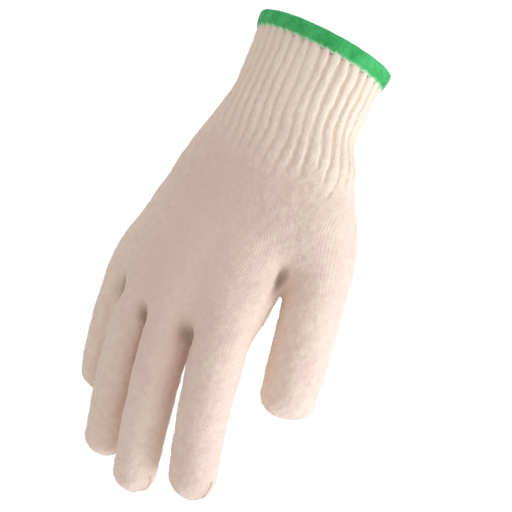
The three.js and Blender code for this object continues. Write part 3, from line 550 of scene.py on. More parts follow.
def knitUpperPalm(row, endFrom, endToward):
    # round the palm and the thumb, from the cuff's rays to those of the thumb's fork
    for i in range(1, knit["upperRows"] + 1):
        u = i / knit["upperRows"]
        z = -cuff["length"] + (thumbWeb["z"] + cuff["length"]) * u
        topFrom, topToward = cuffRays(z, angles)
        w = smooth(u)
        start = topFrom * (1 - w) + endFrom * w
        start[:, 2] = z
        toward = unit(topToward * (1 - w) + endToward * w)
        nextRow = surface.addPoints(castRays(gloveField, start, toward))
        surface.addRow(row, nextRow, knit["cuffRows"] + i - 1, 1)
        row = nextRow
    return row


def knitLowerPalm(row, bottomFrom, bottomToward):
    # round the four fingers only, from the thumb's fork to the forks of the fingers
    startPoints = np.vstack(surface.points)[row]
    fixed = 8 * knit["strip"] + knit["side"] + 1
    startFrom = np.array([tubeAtZ(tubes[0], z)[0] for z in startPoints[:, 2]])
    startFrom[:, 2] = startPoints[:, 2]
    startToward = unit(startPoints - startFrom)
    startFrom[:fixed] = bottomFrom[knit["thumb"]:knit["thumb"] + fixed]
    startToward[:fixed] = bottomToward[knit["thumb"]:knit["thumb"] + fixed]
    endFrom, endToward = forkRays()
    for i in range(1, knit["lowerRows"] + 1):
        u = i / knit["lowerRows"]
        start = startFrom * (1 - u) + endFrom * u
        start[:, 2] = startPoints[:, 2] * (1 - u) + endFrom[:, 2] * u
        toward = unit(startToward * (1 - u) + endToward * u)
        nextRow = surface.addPoints(castRays(gloveField, start, toward))
        surface.addRow(row, nextRow, thumbCourse + i - 1, 1, wale=knit["thumb"])
        row = nextRow
    return row


thumbCourse = knit["cuffRows"] + knit["upperRows"]
fingerCourse = thumbCourse + knit["lowerRows"]
row = knitCuff()
stageNote("cuff rows")
forkStart, forkToward = thumbForkRays()
row = knitUpperPalm(row, forkStart, forkToward)
stageNote("upper palm rows")
thumbPalmStart = knit["thumb"] + 8 * knit["strip"] + knit["side"]
webPoints = webCurve(thumbWeb, knit["thumbWeb"])
webRow = surface.addPoints(webPoints[1:-1])
thumbRing = np.r_[row[:knit["thumb"] + 1], webRow, row[thumbPalmStart:]]
row = np.r_[row[knit["thumb"]:thumbPalmStart + 1], webRow[::-1]]
forkRow = knitLowerPalm(row, forkStart, forkToward)
stageNote("lower palm rows")


def ringCentre(tube, at):
    return {key: np.array([np.interp(at, tube["at"], tube[key][:, k]) for k in range(3)]).T
            for key in ("p", "along", "across", "back")}


# how a tube's wales even out, and how its tip closes (degrees)
tipShape = dict(evenBy=2.2, rise=86, flat=56, narrower=0.25)


def knitTube(tube, ring, field, part, course):
    # from the base loop to the start of the rounded tip
    base = np.vstack(surface.points)[ring]
    j, u, away = nearestOn(tube, base)
    at0 = mixOn(tube, "at", j, u)
    here = ringCentre(tube, at0)
    turn0 = np.unwrap(np.arctan2((away * here["back"]).sum(1), (away * here["across"]).sum(1)))
    n = len(ring)
    sense = np.sign(turn0[-1] - turn0[0])
    even = sense * 2 * np.pi * np.arange(n) / n
    even += (turn0 - even).mean()
    rows = int(round((tube["length"] - at0.mean()) / knit["fingerCourse"]))
    row = ring
    for i in range(1, rows + 1):
        share = i / rows
        turned = smooth(tipShape["evenBy"] * share)
        turn = turn0 * (1 - turned) + even * turned
        here = ringCentre(tube, at0 * (1 - share) + tube["length"] * share)
        toward = unit(here["across"] * np.cos(turn)[:, None] + here["back"] * np.sin(turn)[:, None])
        nextRow = surface.addPoints(castRays(field, here["p"], toward))
        surface.addRow(row, nextRow, course, part)
        course += 1
        row = nextRow
    return knitTip(tube, row, field, part, course, even)


def knitTip(tube, row, field, part, course, turn):
    # rows that round the end of the tube, flatter from back to palm
    here = ringCentre(tube, np.full(len(row), tube["length"]))
    c, s = np.cos(turn)[:, None], np.sin(turn)[:, None]
    for i in range(1, knit["tipRows"] + 1):
        share = i / knit["tipRows"]
        rise, flat = (math.radians(tipShape[key] * share) for key in ("rise", "flat"))
        wide = c * math.cos(flat) * (1 - tipShape["narrower"] * share)
        toward = unit(here["across"] * wide + here["back"] * s * math.cos(rise)
                      + here["along"] * math.sin(rise))
        nextRow = surface.addPoints(castRays(field, here["p"], toward))
        surface.addRow(row, nextRow, course, part)
        course += 1
        row = nextRow
    closeTip(row, part, course, turn)
    return {key: values[0] for key, values in here.items()}


def closeTip(row, part, course, turn):
    # joins the back half of the last ring to its palm half, along the seam line
    away = np.abs(np.mod(np.mod(turn, 2 * np.pi) + np.pi, 2 * np.pi) - np.pi)
    ordered = np.roll(row, -int(np.argmin(away)))
    half = len(row) // 2
    a, b = ordered[:half + 1], np.r_[ordered[0], ordered[:half - 1:-1]]
    quads = [[a[k], b[k], b[k + 1], a[k + 1]] for k in range(1, half - 1)]
    quads.append([a[0], b[0], b[1], a[1]] if a[0] != b[0] else [a[0], b[1], b[1], a[1]])
    closing = [q for q in quads if len(set(q)) == 4]
    if turn[-1] > turn[0]:
        closing = [q[::-1] for q in closing]
    surface.quads.append(np.array(closing))
    uv = np.zeros((len(closing), 4, 2))
    uv[:, :, 0] = np.arange(len(closing))[:, None] + np.array([0, 0, 1, 1])
    uv[:, :, 1] = course + np.array([0, 1, 1, 0])
    surface.uvs.append(uv)
    surface.parts.append(np.full(len(closing), part))


def makeFingerField(i):
    def fingerField(p):
        value = gloveField(p)
        if i < 3:
            past = -p[:, 0] - partings[i]["offset"](p[:, 2]) + knit["apart"]
            value = blendMax(value, past, knit["apartBlend"])
        if i > 0:
            past = p[:, 0] + partings[i - 1]["offset"](p[:, 2]) + knit["apart"]
            value = blendMax(value, past, knit["apartBlend"])
        return value
    return fingerField


webCurves = [webCurve(web, knit["web"]) for web in webs]
webRings = [np.r_[0, surface.addPoints(curve[1:-1]), 0] for curve in webCurves]
stripWales, lowerCount = knit["strip"], len(forkRow)
tips = []
for i, tube in enumerate(tubes):
    backAt, palmAt = i * stripWales, (7 - i) * stripWales + knit["side"]
    back, palmSide = forkRow[backAt:backAt + stripWales], forkRow[palmAt:palmAt + stripWales]
    if i == 3:
        ulnar = forkRow[4 * stripWales:4 * stripWales + knit["side"]]
    else:
        ulnar = np.r_[forkRow[backAt + stripWales], webRings[i][1:-1]]
    if i == 0:
        radial = forkRow[lowerCount - knit["thumbWeb"]:]
    else:
        radial = np.r_[forkRow[palmAt + stripWales], webRings[i - 1][1:-1][::-1]]
    ring = np.r_[back, ulnar, palmSide, radial]
    tips.append(knitTube(tube, ring, makeFingerField(i), i + 2, fingerCourse))
stageNote("finger rows")


def thumbField(p):
    past = thumbParting["offset"](p[:, 2]) - p @ thumbFacing + knit["apart"]
    return blendMax(gloveField(p), past, knit["apartBlend"])


tips.append(knitTube(thumb, thumbRing, thumbField, 6, thumbCourse))
stageNote("thumb rows")

basePoints, baseQuads, baseUv, baseParts = surface.arrays()


def vertexNormals(points, quads):
    a, b, c, d = (points[quads[:, k]] for k in range(4))
    normal = np.cross(c - a, d - b)
    total = np.zeros_like(points)
    for k in range(4):
        np.add.at(total, quads[:, k], normal)
    return unit(total)


relax = dict(rounds=40, step=0.6, most=1.5)


def relaxed(points, quads, partOf, pinned):
    # lets the stitches even out along the surface, as real loops do
    points = points.copy()
    edges = np.vstack([quads[:, [0, 1]], quads[:, [1, 2]], quads[:, [2, 3]], quads[:, [3, 0]]])
    edges = np.unique(np.sort(edges, axis=1), axis=0)
    both = np.vstack([edges, edges[:, ::-1]])
    degree = np.bincount(both[:, 0], minlength=len(points))
    fields = [gloveField, gloveField] + [makeFingerField(i) for i in range(4)] + [thumbField]
    for turn in range(relax["rounds"]):
        mean = np.stack([np.bincount(both[:, 0], points[both[:, 1], k], len(points))
                         for k in range(3)], 1) / degree[:, None]
        out = vertexNormals(points, quads)
        step = mean - points
        step -= out * (step * out).sum(1)[:, None]
        step[pinned] = 0
        points += relax["step"] * step
        if turn % 2:
            for part in range(len(partNames)):
                own = (partOf == part) & ~pinned
                away = np.clip(fields[part](points[own]), -relax["most"], relax["most"])
                points[own] -= out[own] * away[:, None]
    return points


partOf = np.full(len(basePoints), len(partNames))
for part in range(len(partNames) - 1, -1, -1):
    partOf[baseQuads[baseParts == part].ravel()] = part
# the cuff's top, the webs and the corners of the forks stay where they are
corners = [stripWales * k + (knit["side"] if k > 4 else 0) for k in (1, 2, 3, 5, 6, 7)]
pinned = np.zeros(len(basePoints), bool)
pinned[:upperCount] = True
for ring in webRings:
    pinned[ring[1:-1]] = True
pinned[webRow] = True
pinned[forkRow[corners]] = True
pinned[thumbRing[[knit["thumb"], knit["thumb"] + knit["thumbWeb"]]]] = True
basePoints = relaxed(basePoints, baseQuads, partOf, pinned)
stageNote("stitches evened out")
print("stitches", len(baseQuads), "by part", np.bincount(baseParts))


def meshFrom(name, points, quads, uvs=None):
    mesh = bpy.data.meshes.new(name)
    mesh.vertices.add(len(points))
    mesh.vertices.foreach_set("co", np.asarray(points, np.float32).ravel())
    mesh.loops.add(len(quads) * 4)
    mesh.loops.foreach_set("vertex_index", np.asarray(quads, np.int32).ravel())
    mesh.polygons.add(len(quads))
    mesh.polygons.foreach_set("loop_start", np.arange(0, len(quads) * 4, 4, dtype=np.int32))
    mesh.update(calc_edges=True)
    if uvs is not None:
        layer = mesh.uv_layers.new(name="stitch")
        layer.data.foreach_set("uv", np.asarray(uvs, np.float32).ravel())
    mesh.polygons.foreach_set("use_smooth", np.ones(len(quads), bool))
    return mesh


def subdivided(name, points, quads, uvs, levels):
    mesh = meshFrom(name, points, quads, uvs)
    carrier = bpy.data.objects.new(name, mesh)
    bpy.context.scene.collection.objects.link(carrier)
    modifier = carrier.modifiers.new("finer", "SUBSURF")
    modifier.levels = levels
    modifier.uv_smooth = "NONE"
    modifier.boundary_smooth = "PRESERVE_CORNERS"
    fine = carrier.evaluated_get(bpy.context.evaluated_depsgraph_get()).to_mesh()
    co = np.empty(len(fine.vertices) * 3, np.float32)
    fine.vertices.foreach_get("co", co)
    loops = np.empty(len(fine.loops), np.int32)
    fine.loops.foreach_get("vertex_index", loops)
    uv = np.empty(len(fine.loops) * 2, np.float32)
    fine.uv_layers[0].data.foreach_get("uv", uv)
    result = co.reshape(-1, 3).astype(float), loops.reshape(-1, 4), uv.reshape(-1, 4, 2)
    carrier.to_mesh_clear()
    bpy.data.objects.remove(carrier)
    return result


levels = 2
perStitch = 4 ** levels
finePoints, fineQuads, fineUv = subdivided("stitches", basePoints, baseQuads, baseUv, levels)
fineParts = np.repeat(baseParts, perStitch)
stageNote(f"subdivided to {len(fineQuads)} quads")


def perVertex(values, quads, count):
    total, hits = np.zeros(count), np.zeros(count)
    np.add.at(total, quads.ravel(), values.ravel())
    np.add.at(hits, quads.ravel(), 1)
    return total / np.maximum(hits, 1)


# the cloth is drawn in at each fork, deepest where the thumb leaves the palm: lengths in mm
forkFold = dict(at=(0.6, 0, -2.6), inward=(0.1, 1, 0.1), width=3.2, reach=5.0, depth=6.0, shade=1.05)
forkSpreads = (1.3, 1.2, 0.3)
palmFold = dict(inward=(0, -1, 0.25), width=3.4, reach=5.0, depth=1.8, spread=0.3, shade=0.2)
thumbFold = dict(at=(-2.9, -2.1, -0.6), width=2.2, reach=7.5, depth=5.5, spread=0.6, shade=1.1)
foldThrough = 7.5
foldWiderInside = 1.8
pinches = []


def addPinch(fold, centre, across, **others):
    pinch = dict(fold, centre=centre, **others)
    pinch["inward"] = unit(np.array(pinch["inward"], float))
    pinch["across"] = unit(np.array(across, float))
    pinch["along"] = np.cross(pinch["inward"], pinch["across"])
    pinches.append(pinch)


for curve, spread in zip(webCurves, forkSpreads):
    addPinch(forkFold, curve[1] + np.array(forkFold["at"]), (1, 0, 0), spread=spread)
    addPinch(palmFold, (curve[-1] + curve[-2]) / 2, (1, 0, 0))
addPinch(thumbFold, webPoints[0] + np.array(thumbFold["at"]), thumbParting["facing"],
         inward=thumbParting["sideways"])


def nearPinch(pinch, p, wider=1):
    away = p - pinch["centre"]
    x, y, z = away @ pinch["across"], away @ pinch["inward"], away @ pinch["along"]
    spot = (x / pinch["width"]) ** 2 + (z / pinch["reach"]) ** 2
    return x, np.exp(-spot / wider ** 2 - (y / foldThrough) ** 2)


def pinched(p, wider=1):
    moved = p.copy()
    for pinch in pinches:
        x, near = nearPinch(pinch, p, wider)
        moved += pinch["inward"] * (pinch["depth"] * near)[:, None]
        moved += pinch["across"] * (pinch["spread"] * near * np.tanh(x))[:, None]
    return moved


# painted shade: how deep in a fold each point lies, and how far the base colour is darkened there to stand
# in for the shade that falls in the folds
paintedShade = np.zeros(len(finePoints))
for pinch in pinches:
    paintedShade = np.maximum(paintedShade, nearPinch(pinch, finePoints)[1] * pinch["shade"])
paintedShade = np.minimum(paintedShade, 1)
finePoints = pinched(finePoints)

# each stitch is a V of two yarn legs; no two stitches or rows are quite alike
stitch = dict(legRise=0.07, rowRise=0.05, groove=0.03, grooveFrom=0.7, grooveOver=0.3, lean=0.6,
              uneven=0.6, rowUneven=0.2, least=0.2, most=1.8)
# lumps of the worn cloth: size and height in mm, and how the large ones fade towards the hem
lumps = [(14.0, 0.4), (6.0, 0.22), (2.6, 0.16), (1.3, 0.11)]
calmed = dict(sizesOver=5, least=0.3, start=8, over=10)
generator = np.random.default_rng(7)
u, v = fineUv[..., 0], fineUv[..., 1]
off = np.abs(2 * np.mod(u, 1) - 1)
leg = np.sin(np.pi * off)
rise = stitch["legRise"] * leg + stitch["rowRise"] * np.cos(2 * np.pi * (v - stitch["lean"] * off)) * leg
rise -= stitch["groove"] * smooth((off - stitch["grooveFrom"]) / stitch["grooveOver"])
full = 1 + stitch["uneven"] * np.repeat(generator.normal(0, 1, len(baseQuads)), perStitch)
rowNumber = np.repeat(baseUv[:, :, 1].min(1), perStitch).astype(int)
full += stitch["rowUneven"] * generator.normal(0, 1, rowNumber.max() + 1)[rowNumber]
full = np.clip(full, stitch["least"], stitch["most"])
stitchRise = perVertex(rise * full[:, None], fineQuads, len(finePoints))
normals = vertexNormals(finePoints, fineQuads)
z = finePoints[:, 2]
calm = calmed["least"] + (1 - calmed["least"]) * smooth((-z - calmed["start"]) / calmed["over"])
for k, (size, height) in enumerate(lumps):
    fading = calm if size > calmed["sizesOver"] else 1
    stitchRise += height * softNoise(finePoints, size, seeds["lumps"] + k) * fading

# every third wale of the cuff is sunk between two proud ones: lengths in mm
rib = dict(wales=3, sunkWale=1.0, rise=1.1, crown=0.22, valley=0.9, valleyFrom=0.25, valleyOver=0.75,
           stretch=0.55, waver=0.8, waverSize=6.0, wobble=0.55, wobbleSize=2.0,
           turn=2.4, turnFrom=34, turnOver=34,
           hemFade=6.2, hemFadeOver=3, palmFade=16.0, palmReach=8, palmUneven=9,
           lengthSpread=20, lengthSize=3.0,
           even=0.85, uneven=0.3, unevenSize=11.0)
phase = 2 * np.pi * (u - rib["sunkWale"]) / rib["wales"]
phase = np.arctan2(perVertex(np.sin(phase), fineQuads, len(finePoints)),
                   perVertex(np.cos(phase), fineQuads, len(finePoints)))
stretched = finePoints * np.array([1, 1, rib["stretch"]])
phase += rib["waver"] * (softNoise(stretched, rib["waverSize"], seeds["ribWaver"])
                         + 0.5 * softNoise(stretched, rib["waverSize"] / 2, seeds["ribWaver"] + 1))
phase += rib["wobble"] * softNoise(finePoints, rib["wobbleSize"], seeds["ribWobble"])
# towards the palm the ribs turn to the thumb
turned = smooth((-z - rib["turnFrom"]) / rib["turnOver"])
phase += rib["turn"] * 2 * np.pi / rib["wales"] * turned * -normals[:, 1]
wave = np.cos(phase)
onCuff = np.zeros(len(finePoints), bool)
onCuff[fineQuads[fineParts <= 1].ravel()] = True
around = np.stack([normals[:, 0] * rib["lengthSpread"], normals[:, 1] * rib["lengthSpread"], 0 * z], 1)
ribLength = softNoise(around, rib["lengthSize"], seeds["ribLength"])
overPalm = cuff["length"] + rib["palmReach"] + rib["palmUneven"] * ribLength
fade = smooth((z + overPalm) / rib["palmFade"] + 0.5)
fade = fade * smooth((-z - rib["hemFade"]) / rib["hemFadeOver"])
fade *= rib["even"] + rib["uneven"] * softNoise(stretched, rib["unevenSize"], seeds["ribFade"])
fade[~onCuff] = 0
ribShape = rib["crown"] * wave - rib["valley"] * smooth((-wave - rib["valleyFrom"]) / rib["valleyOver"])
finePoints = finePoints + normals * (stitchRise + rib["rise"] * fade * ribShape)[:, None]

# painted shade and light: pinker and darker on the back of the glove, creamier and paler on the cuff by the
# thumb:
# place across and down, and reach across and down, in mm
paintedLightAndShade = dict(share=0.22, pinker=(-8, -112, 30, 42), creamier=(28, -24, 26, 30))


def tintSpot(across, down, wide, tall):
    return np.exp(-((finePoints[:, 0] - across) / wide) ** 2 - ((z - down) / tall) ** 2)


tone = (tintSpot(*paintedLightAndShade["creamier"]) - tintSpot(*paintedLightAndShade["pinker"])) * paintedLightAndShade["share"]

# the short seam that closes each fingertip; it climbs a little to the back on the thumb's side: mm, degrees
seam = dict(groove=1.0, width=0.7, roll=0.55, rollAt=1.4, rollWidth=0.8, reach=98.0, fade=15,
            turn=4.0, waver=0.5, waverSize=2.2, shade=0.6)
seamTurn = math.radians(seam["turn"])
for tip, part in zip(tips, (2, 3, 4, 5, 6)):
    own = np.unique(fineQuads[fineParts == part])
    away = finePoints[own] - tip["p"]
    a, x, y = away @ tip["along"], away @ tip["across"], away @ tip["back"]
    ahead = np.degrees(np.arctan2(np.abs(x), a))
    line = smooth((seam["reach"] - ahead) / seam["fade"])
    y = y * math.cos(seamTurn) - x * math.sin(seamTurn)
    y += seam["waver"] * softNoise(finePoints[own], seam["waverSize"], seeds["tipSeam"])
    lift = seam["roll"] * np.exp(-((np.abs(y) - seam["rollAt"]) / seam["rollWidth"]) ** 2)
    sunk = np.exp(-(y / seam["width"]) ** 2)
    lift -= seam["groove"] * sunk
    finePoints[own] += normals[own] * (lift * line)[:, None]
    # painted shade: the seam's groove is darkened in the base colour
    paintedShade[own] = np.maximum(paintedShade[own], seam["shade"] * sunk * line)
normals = vertexNormals(finePoints, fineQuads)
stageNote("stitches, ribs and tip seams raised")


def addNode(tree, kind, **values):
    # a name that the node hasn't is one of its sockets
    node = tree.nodes.new(kind)
    for key, value in values.items():
        if hasattr(node, key):
            setattr(node, key, value)
        else:
            node.inputs[key].default_value = value
    return node


def mathNode(tree, operation, a, b=None, c=None, clamp=False):
    node = tree.nodes.new("ShaderNodeMath")
    node.operation = operation
    node.use_clamp = clamp
    for k, value in enumerate((a, b, c)):
        if value is None:
            continue
        if isinstance(value, (int, float)):
            node.inputs[k].default_value = value
        else:
            tree.links.new(value, node.inputs[k])
    return node.outputs[0]


def mixColour(tree, amount, colour, other):
    node = tree.nodes.new("ShaderNodeMix")
    node.data_type = "RGBA"
    tree.links.new(amount, node.inputs[0])
    tree.links.new(colour, node.inputs[6])
    node.inputs[7].default_value = other
    return node.outputs[2]


def addRamp(tree, amount, stops):
    # stops are positions and colours, from low to high
    ramp = tree.nodes.new("ShaderNodeValToRGB")
    elements = ramp.color_ramp.elements
    elements[0].position, elements[0].color = stops[0]
    elements[1].position, elements[1].color = stops[-1]
    for at, colour in stops[1:-1]:
        elements.new(at).color = colour
    tree.links.new(amount, ramp.inputs[0])
    return ramp.outputs[0]


def addBump(tree, look, height):
    bump = addNode(tree, "ShaderNodeBump", Strength=look["bump"], Distance=look["bumpDistance"])
    tree.links.new(height, bump.inputs["Height"])
    tree.links.new(bump.outputs[0], tree.nodes["Principled BSDF"].inputs["Normal"])


def yarnMaterial(name, look):
    material = bpy.data.materials.new(name)
    material.use_nodes = True
    shader = material.node_tree.nodes["Principled BSDF"]
    shader.inputs["Roughness"].default_value = look["roughness"]
    shader.inputs["Specular IOR Level"].default_value = look["specular"]
    shader.inputs["Sheen Weight"].default_value = look["sheen"]
    shader.inputs["Sheen Roughness"].default_value = look["sheenRoughness"]
    shader.inputs["Sheen Tint"].default_value = look["sheenTint"]
    return material, material.node_tree, shader


def noiseOn(tree, place, scale, detail, roughness=0.5):
    node = addNode(tree, "ShaderNodeTexNoise", Scale=scale, Detail=detail, Roughness=roughness)
    tree.links.new(place.outputs["Object"], node.inputs["Vector"])
    return node.outputs[0]


yarnRelief = dict(bead=0.2, legHeight=0.7, fuzz=1.3, fuzzScale=900, fuzzDetail=5.0, fuzzRoughness=0.65)


def stitchGroup():
    # height of the two yarn legs of each stitch, from wale and course numbers, and the fuzz on them
    tree = bpy.data.node_groups.new("stitchRelief", "ShaderNodeTree")
    tree.interface.new_socket("Stitch", in_out="INPUT", socket_type="NodeSocketVector")
    fuzzIn = tree.interface.new_socket("Fuzz Scale", in_out="INPUT", socket_type="NodeSocketFloat")
    fuzzIn.default_value = yarnRelief["fuzzScale"]
    tree.interface.new_socket("Height", in_out="OUTPUT", socket_type="NodeSocketFloat")
    tree.interface.new_socket("Groove", in_out="OUTPUT", socket_type="NodeSocketFloat")
    entry, leave = tree.nodes.new("NodeGroupInput"), tree.nodes.new("NodeGroupOutput")
    split = tree.nodes.new("ShaderNodeSeparateXYZ")
    tree.links.new(entry.outputs["Stitch"], split.inputs[0])
    offWale = mathNode(tree, "FRACT", split.outputs[0])
    offWale = mathNode(tree, "MULTIPLY_ADD", offWale, 2, -1)
    offWale = mathNode(tree, "ABSOLUTE", offWale)
    legShape = mathNode(tree, "SINE", mathNode(tree, "MULTIPLY", offWale, math.pi))
    phase = mathNode(tree, "MULTIPLY_ADD", offWale, -stitch["lean"], split.outputs[1])
    bead = mathNode(tree, "COSINE", mathNode(tree, "MULTIPLY", phase, 2 * math.pi))
    bead = mathNode(tree, "MULTIPLY_ADD", bead, yarnRelief["bead"], yarnRelief["legHeight"])
    legHeight = mathNode(tree, "MULTIPLY", legShape, bead)
    place = tree.nodes.new("ShaderNodeTexCoord")
    fuzz = addNode(tree, "ShaderNodeTexNoise", Detail=yarnRelief["fuzzDetail"],
                   Roughness=yarnRelief["fuzzRoughness"])
    tree.links.new(place.outputs["Object"], fuzz.inputs["Vector"])
    tree.links.new(entry.outputs["Fuzz Scale"], fuzz.inputs["Scale"])
    fuzzed = mathNode(tree, "MULTIPLY_ADD", fuzz.outputs[0], yarnRelief["fuzz"], legHeight)
    tree.links.new(fuzzed, leave.inputs["Height"])
    tree.links.new(mathNode(tree, "SUBTRACT", 1, legShape, clamp=True), leave.inputs["Groove"])
    return tree


stitchRelief = stitchGroup()
# rib is a painted lighter tone for the ribbed cuff; groove and fold are colours of painted shade
cottonLook = dict(
    light=(0.86, 0.70, 0.575, 1), pink=(0.78, 0.575, 0.49, 1), groove=(0.64, 0.47, 0.385, 1),
    fold=(0.45, 0.34, 0.255, 1), rib=(0.93, 0.80, 0.675, 1), roughness=0.95, specular=0.15, sheen=0.35,
    sheenRoughness=0.45, sheenTint=(1.0, 0.93, 0.85, 1), bump=0.3, bumpDistance=0.0004,
    drift=(14.0, 3.0), mottle=(260.0, 4.0, 0.6), pinkTo=0.38, lightFrom=0.62, paintedRibLight=0.4,
    paintedGrooveShade=0.22)


def cottonMaterial(name, look):
    material, tree, shader = yarnMaterial(name, look)
    place = tree.nodes.new("ShaderNodeTexCoord")
    relief = tree.nodes.new("ShaderNodeGroup")
    relief.node_tree = stitchRelief
    tree.links.new(place.outputs["UV"], relief.inputs["Stitch"])
    # slow drift from cream to pinkish, and a finer mottle from uneven yarn
    drift = noiseOn(tree, place, *look["drift"])
    mottle = noiseOn(tree, place, *look["mottle"])
    both = mathNode(tree, "MULTIPLY", drift, 0.5)
    both = mathNode(tree, "MULTIPLY_ADD", mottle, 0.5, both)
    tone, ribbed, paintedShade = (addNode(tree, "ShaderNodeAttribute", attribute_name=name).outputs["Fac"]
                            for name in ("tone", "ribbed", "paintedShade"))
    both = mathNode(tree, "ADD", both, tone)
    colour = addRamp(tree, both, [(look["pinkTo"], look["pink"]), (look["lightFrom"], look["light"])])
    # painted light: paler over the ribs of the cuff; painted shade: darker between the yarn legs and
    # darkest in the folds
    colour = mixColour(tree, mathNode(tree, "MULTIPLY", ribbed, look["paintedRibLight"]), colour, look["rib"])
    between = mathNode(tree, "MULTIPLY", relief.outputs["Groove"], look["paintedGrooveShade"])
    colour = mixColour(tree, between, colour, look["groove"])
    colour = mixColour(tree, paintedShade, colour, look["fold"])
    tree.links.new(colour, shader.inputs["Base Color"])
    addBump(tree, look, relief.outputs["Height"])
    return material


cotton = cottonMaterial("cottonKnit", cottonLook)
cottonRib = cottonMaterial("cottonRib", dict(cottonLook, sheen=0.3))


# the cloth's inner face, one plain quad per stitch
innerPoints = pinched(basePoints, foldWiderInside)
innerPoints = innerPoints - vertexNormals(innerPoints, baseQuads) * wall


def innerLayer(part):
    used, index = np.unique(baseQuads[baseParts == part], return_inverse=True)
    return innerPoints[used], index.reshape(-1, 4)[:, ::-1], baseUv[baseParts == part][:, ::-1]


def addPiece(name, points, quads, uvs, normalsOf, material, node):
    mesh = meshFrom(name, points * mm, quads, uvs)
    mesh.materials.append(material)
    if normalsOf is not None:
        mesh.normals_split_custom_set_from_vertices(normalsOf.astype(np.float32).tolist())
    piece = bpy.data.objects.new(name, mesh)
    bpy.context.scene.collection.objects.link(piece)
    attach(piece, "root")
    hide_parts(node)
    return piece


for part, node in enumerate(partNames):
    chosen = fineQuads[fineParts == part]
    used, index = np.unique(chosen, return_inverse=True)
    insidePoints, insideQuads, insideUv = innerLayer(part)
    points = np.vstack([finePoints[used], insidePoints])
    quads = np.vstack([index.reshape(-1, 4), insideQuads + len(used)])
    uvs = np.vstack([fineUv[fineParts == part], insideUv])
    insideNormals = vertexNormals(insidePoints, insideQuads)
    allNormals = np.vstack([normals[used], insideNormals])
    isCuff = node == "rib_cuff"
    piece = addPiece(node + "_knit", points, quads, uvs, allNormals, cottonRib if isCuff else cotton,
                     node)
    for layerName, values in (("paintedShade", paintedShade), ("ribbed", fade), ("tone", tone)):
        layer = piece.data.attributes.new(layerName, "FLOAT", "POINT")
        values = np.r_[values[used], np.zeros(len(insidePoints))]
        layer.data.foreach_set("value", values.astype(np.float32))
    print(node, "triangles", 2 * len(quads))
stageNote("knitted pieces")


# hem: green thread wrapped over the cuff's edge, with lengths in mm
hem = dict(around=1080, wraps=168, threadRise=0.09, threadSizes=(0.5, 1.3), slant=0.1, roundness=0.6,
           teeth=0.55, teethSizes=(-0.5, 1.0), borderFrom=6.5, borderOver=2.2,
           ribs=36, ribRise=0.3, ribTurn=0.9, uneven=((3.0, 0.16), (1.2, 0.08)), sag=0.12, sagSize=5.0)
# z, distance out from the cuff's face: up the inner face, over the top and down the outer one
hemSections = np.array([
    (-4.9, -wall - 0.5), (-3.0, -wall - 0.9), (-1.6, -wall - 0.9), (-1.0, -wall * 0.85),
    (-0.75, -wall * 0.5), (-0.7, -0.1), (-0.8, 0.45), (-1.05, 0.8), (-1.5, 1.02), (-2.2, 1.1),
    (-3.1, 1.12), (-4.0, 1.15),
    (-5.0, 1.12), (-6.0, 1.05), (-6.9, 0.95), (-7.6, 0.8), (-8.2, 0.6), (-8.7, 0.3), (-9.1, -0.3)])


def hemPiece():
    angle = cuffAngles(hem["around"])
    phase = np.arange(hem["around"]) / hem["around"]
    threadOf = phase * hem["wraps"]
    nearest = np.mod(np.round(threadOf + 0.5).astype(int), hem["wraps"])
    threadSize = generator.uniform(*hem["threadSizes"], hem["wraps"])[nearest]
    threadReach = generator.uniform(*hem["teethSizes"], hem["wraps"])[nearest]
    ribWave = hem["ribRise"] * np.cos(2 * np.pi * hem["ribs"] * phase + hem["ribTurn"])
    points = []
    for i, (z, out) in enumerate(hemSections):
        low = smooth((-z - hem["borderFrom"]) / hem["borderOver"])
        start, toward = cuffRays(z, angle)
        p = castRays(gloveField, start, toward)
        away = unit(np.stack([toward[:, 0], toward[:, 1], 0 * toward[:, 0]], 1))
        thread = np.abs(np.sin(np.pi * (threadOf + hem["slant"] * z))) ** hem["roundness"]
        thread = thread * hem["threadRise"] * threadSize
        tooth = np.abs(np.sin(np.pi * threadOf)) * threadReach * hem["teeth"]
        uneven = sum(height * softNoise(p, size, seeds["hem"] + k)
                     for k, (size, height) in enumerate(hem["uneven"]))
        p = p + away * (out + thread + uneven)[:, None]
        p[:, 2] -= low * (ribWave + tooth) + hem["sag"] * softNoise(p, hem["sagSize"], seeds["hemSag"])
        points.append(p)
    points = np.vstack(points)
    n = hem["around"]
    j = np.arange(n)
    k = (j + 1) % n
    reach = np.r_[0, np.cumsum(np.hypot(*np.diff(hemSections, axis=0).T))]
    quads, uv = [], []
    for i in range(len(hemSections) - 1):
        quads.append(np.stack([i * n + j, i * n + k, (i + 1) * n + k, (i + 1) * n + j], 1))
        across = np.stack([j, j + 1, j + 1, j], 1) / n * hem["wraps"]
        down = np.tile([reach[i], reach[i], reach[i + 1], reach[i + 1]], (n, 1)) - reach[-1]
        uv.append(np.stack([across, down], 2))
    return points, np.vstack(quads), np.vstack(uv)


threadLook = dict(
    deep=(0.027, 0.28, 0.075, 1), colour=(0.045, 0.42, 0.115, 1), light=(0.10, 0.54, 0.19, 1),
    pale=(0.52, 0.72, 0.46, 1), steps=(0.42, 0.66, 0.95), roughness=0.8, specular=0.25, sheen=0.1,
    sheenRoughness=0.4, sheenTint=(1, 1, 1, 1), bump=0.4, bumpDistance=0.0003, fine=(700.0, 4.0),
    patches=(130.0, 3.0), fineShare=0.5, threadShare=0.13, patchShare=0.7,
    fringe=1.5, fringeFine=1.4, fringeThread=0.6, fringeShare=0.7)


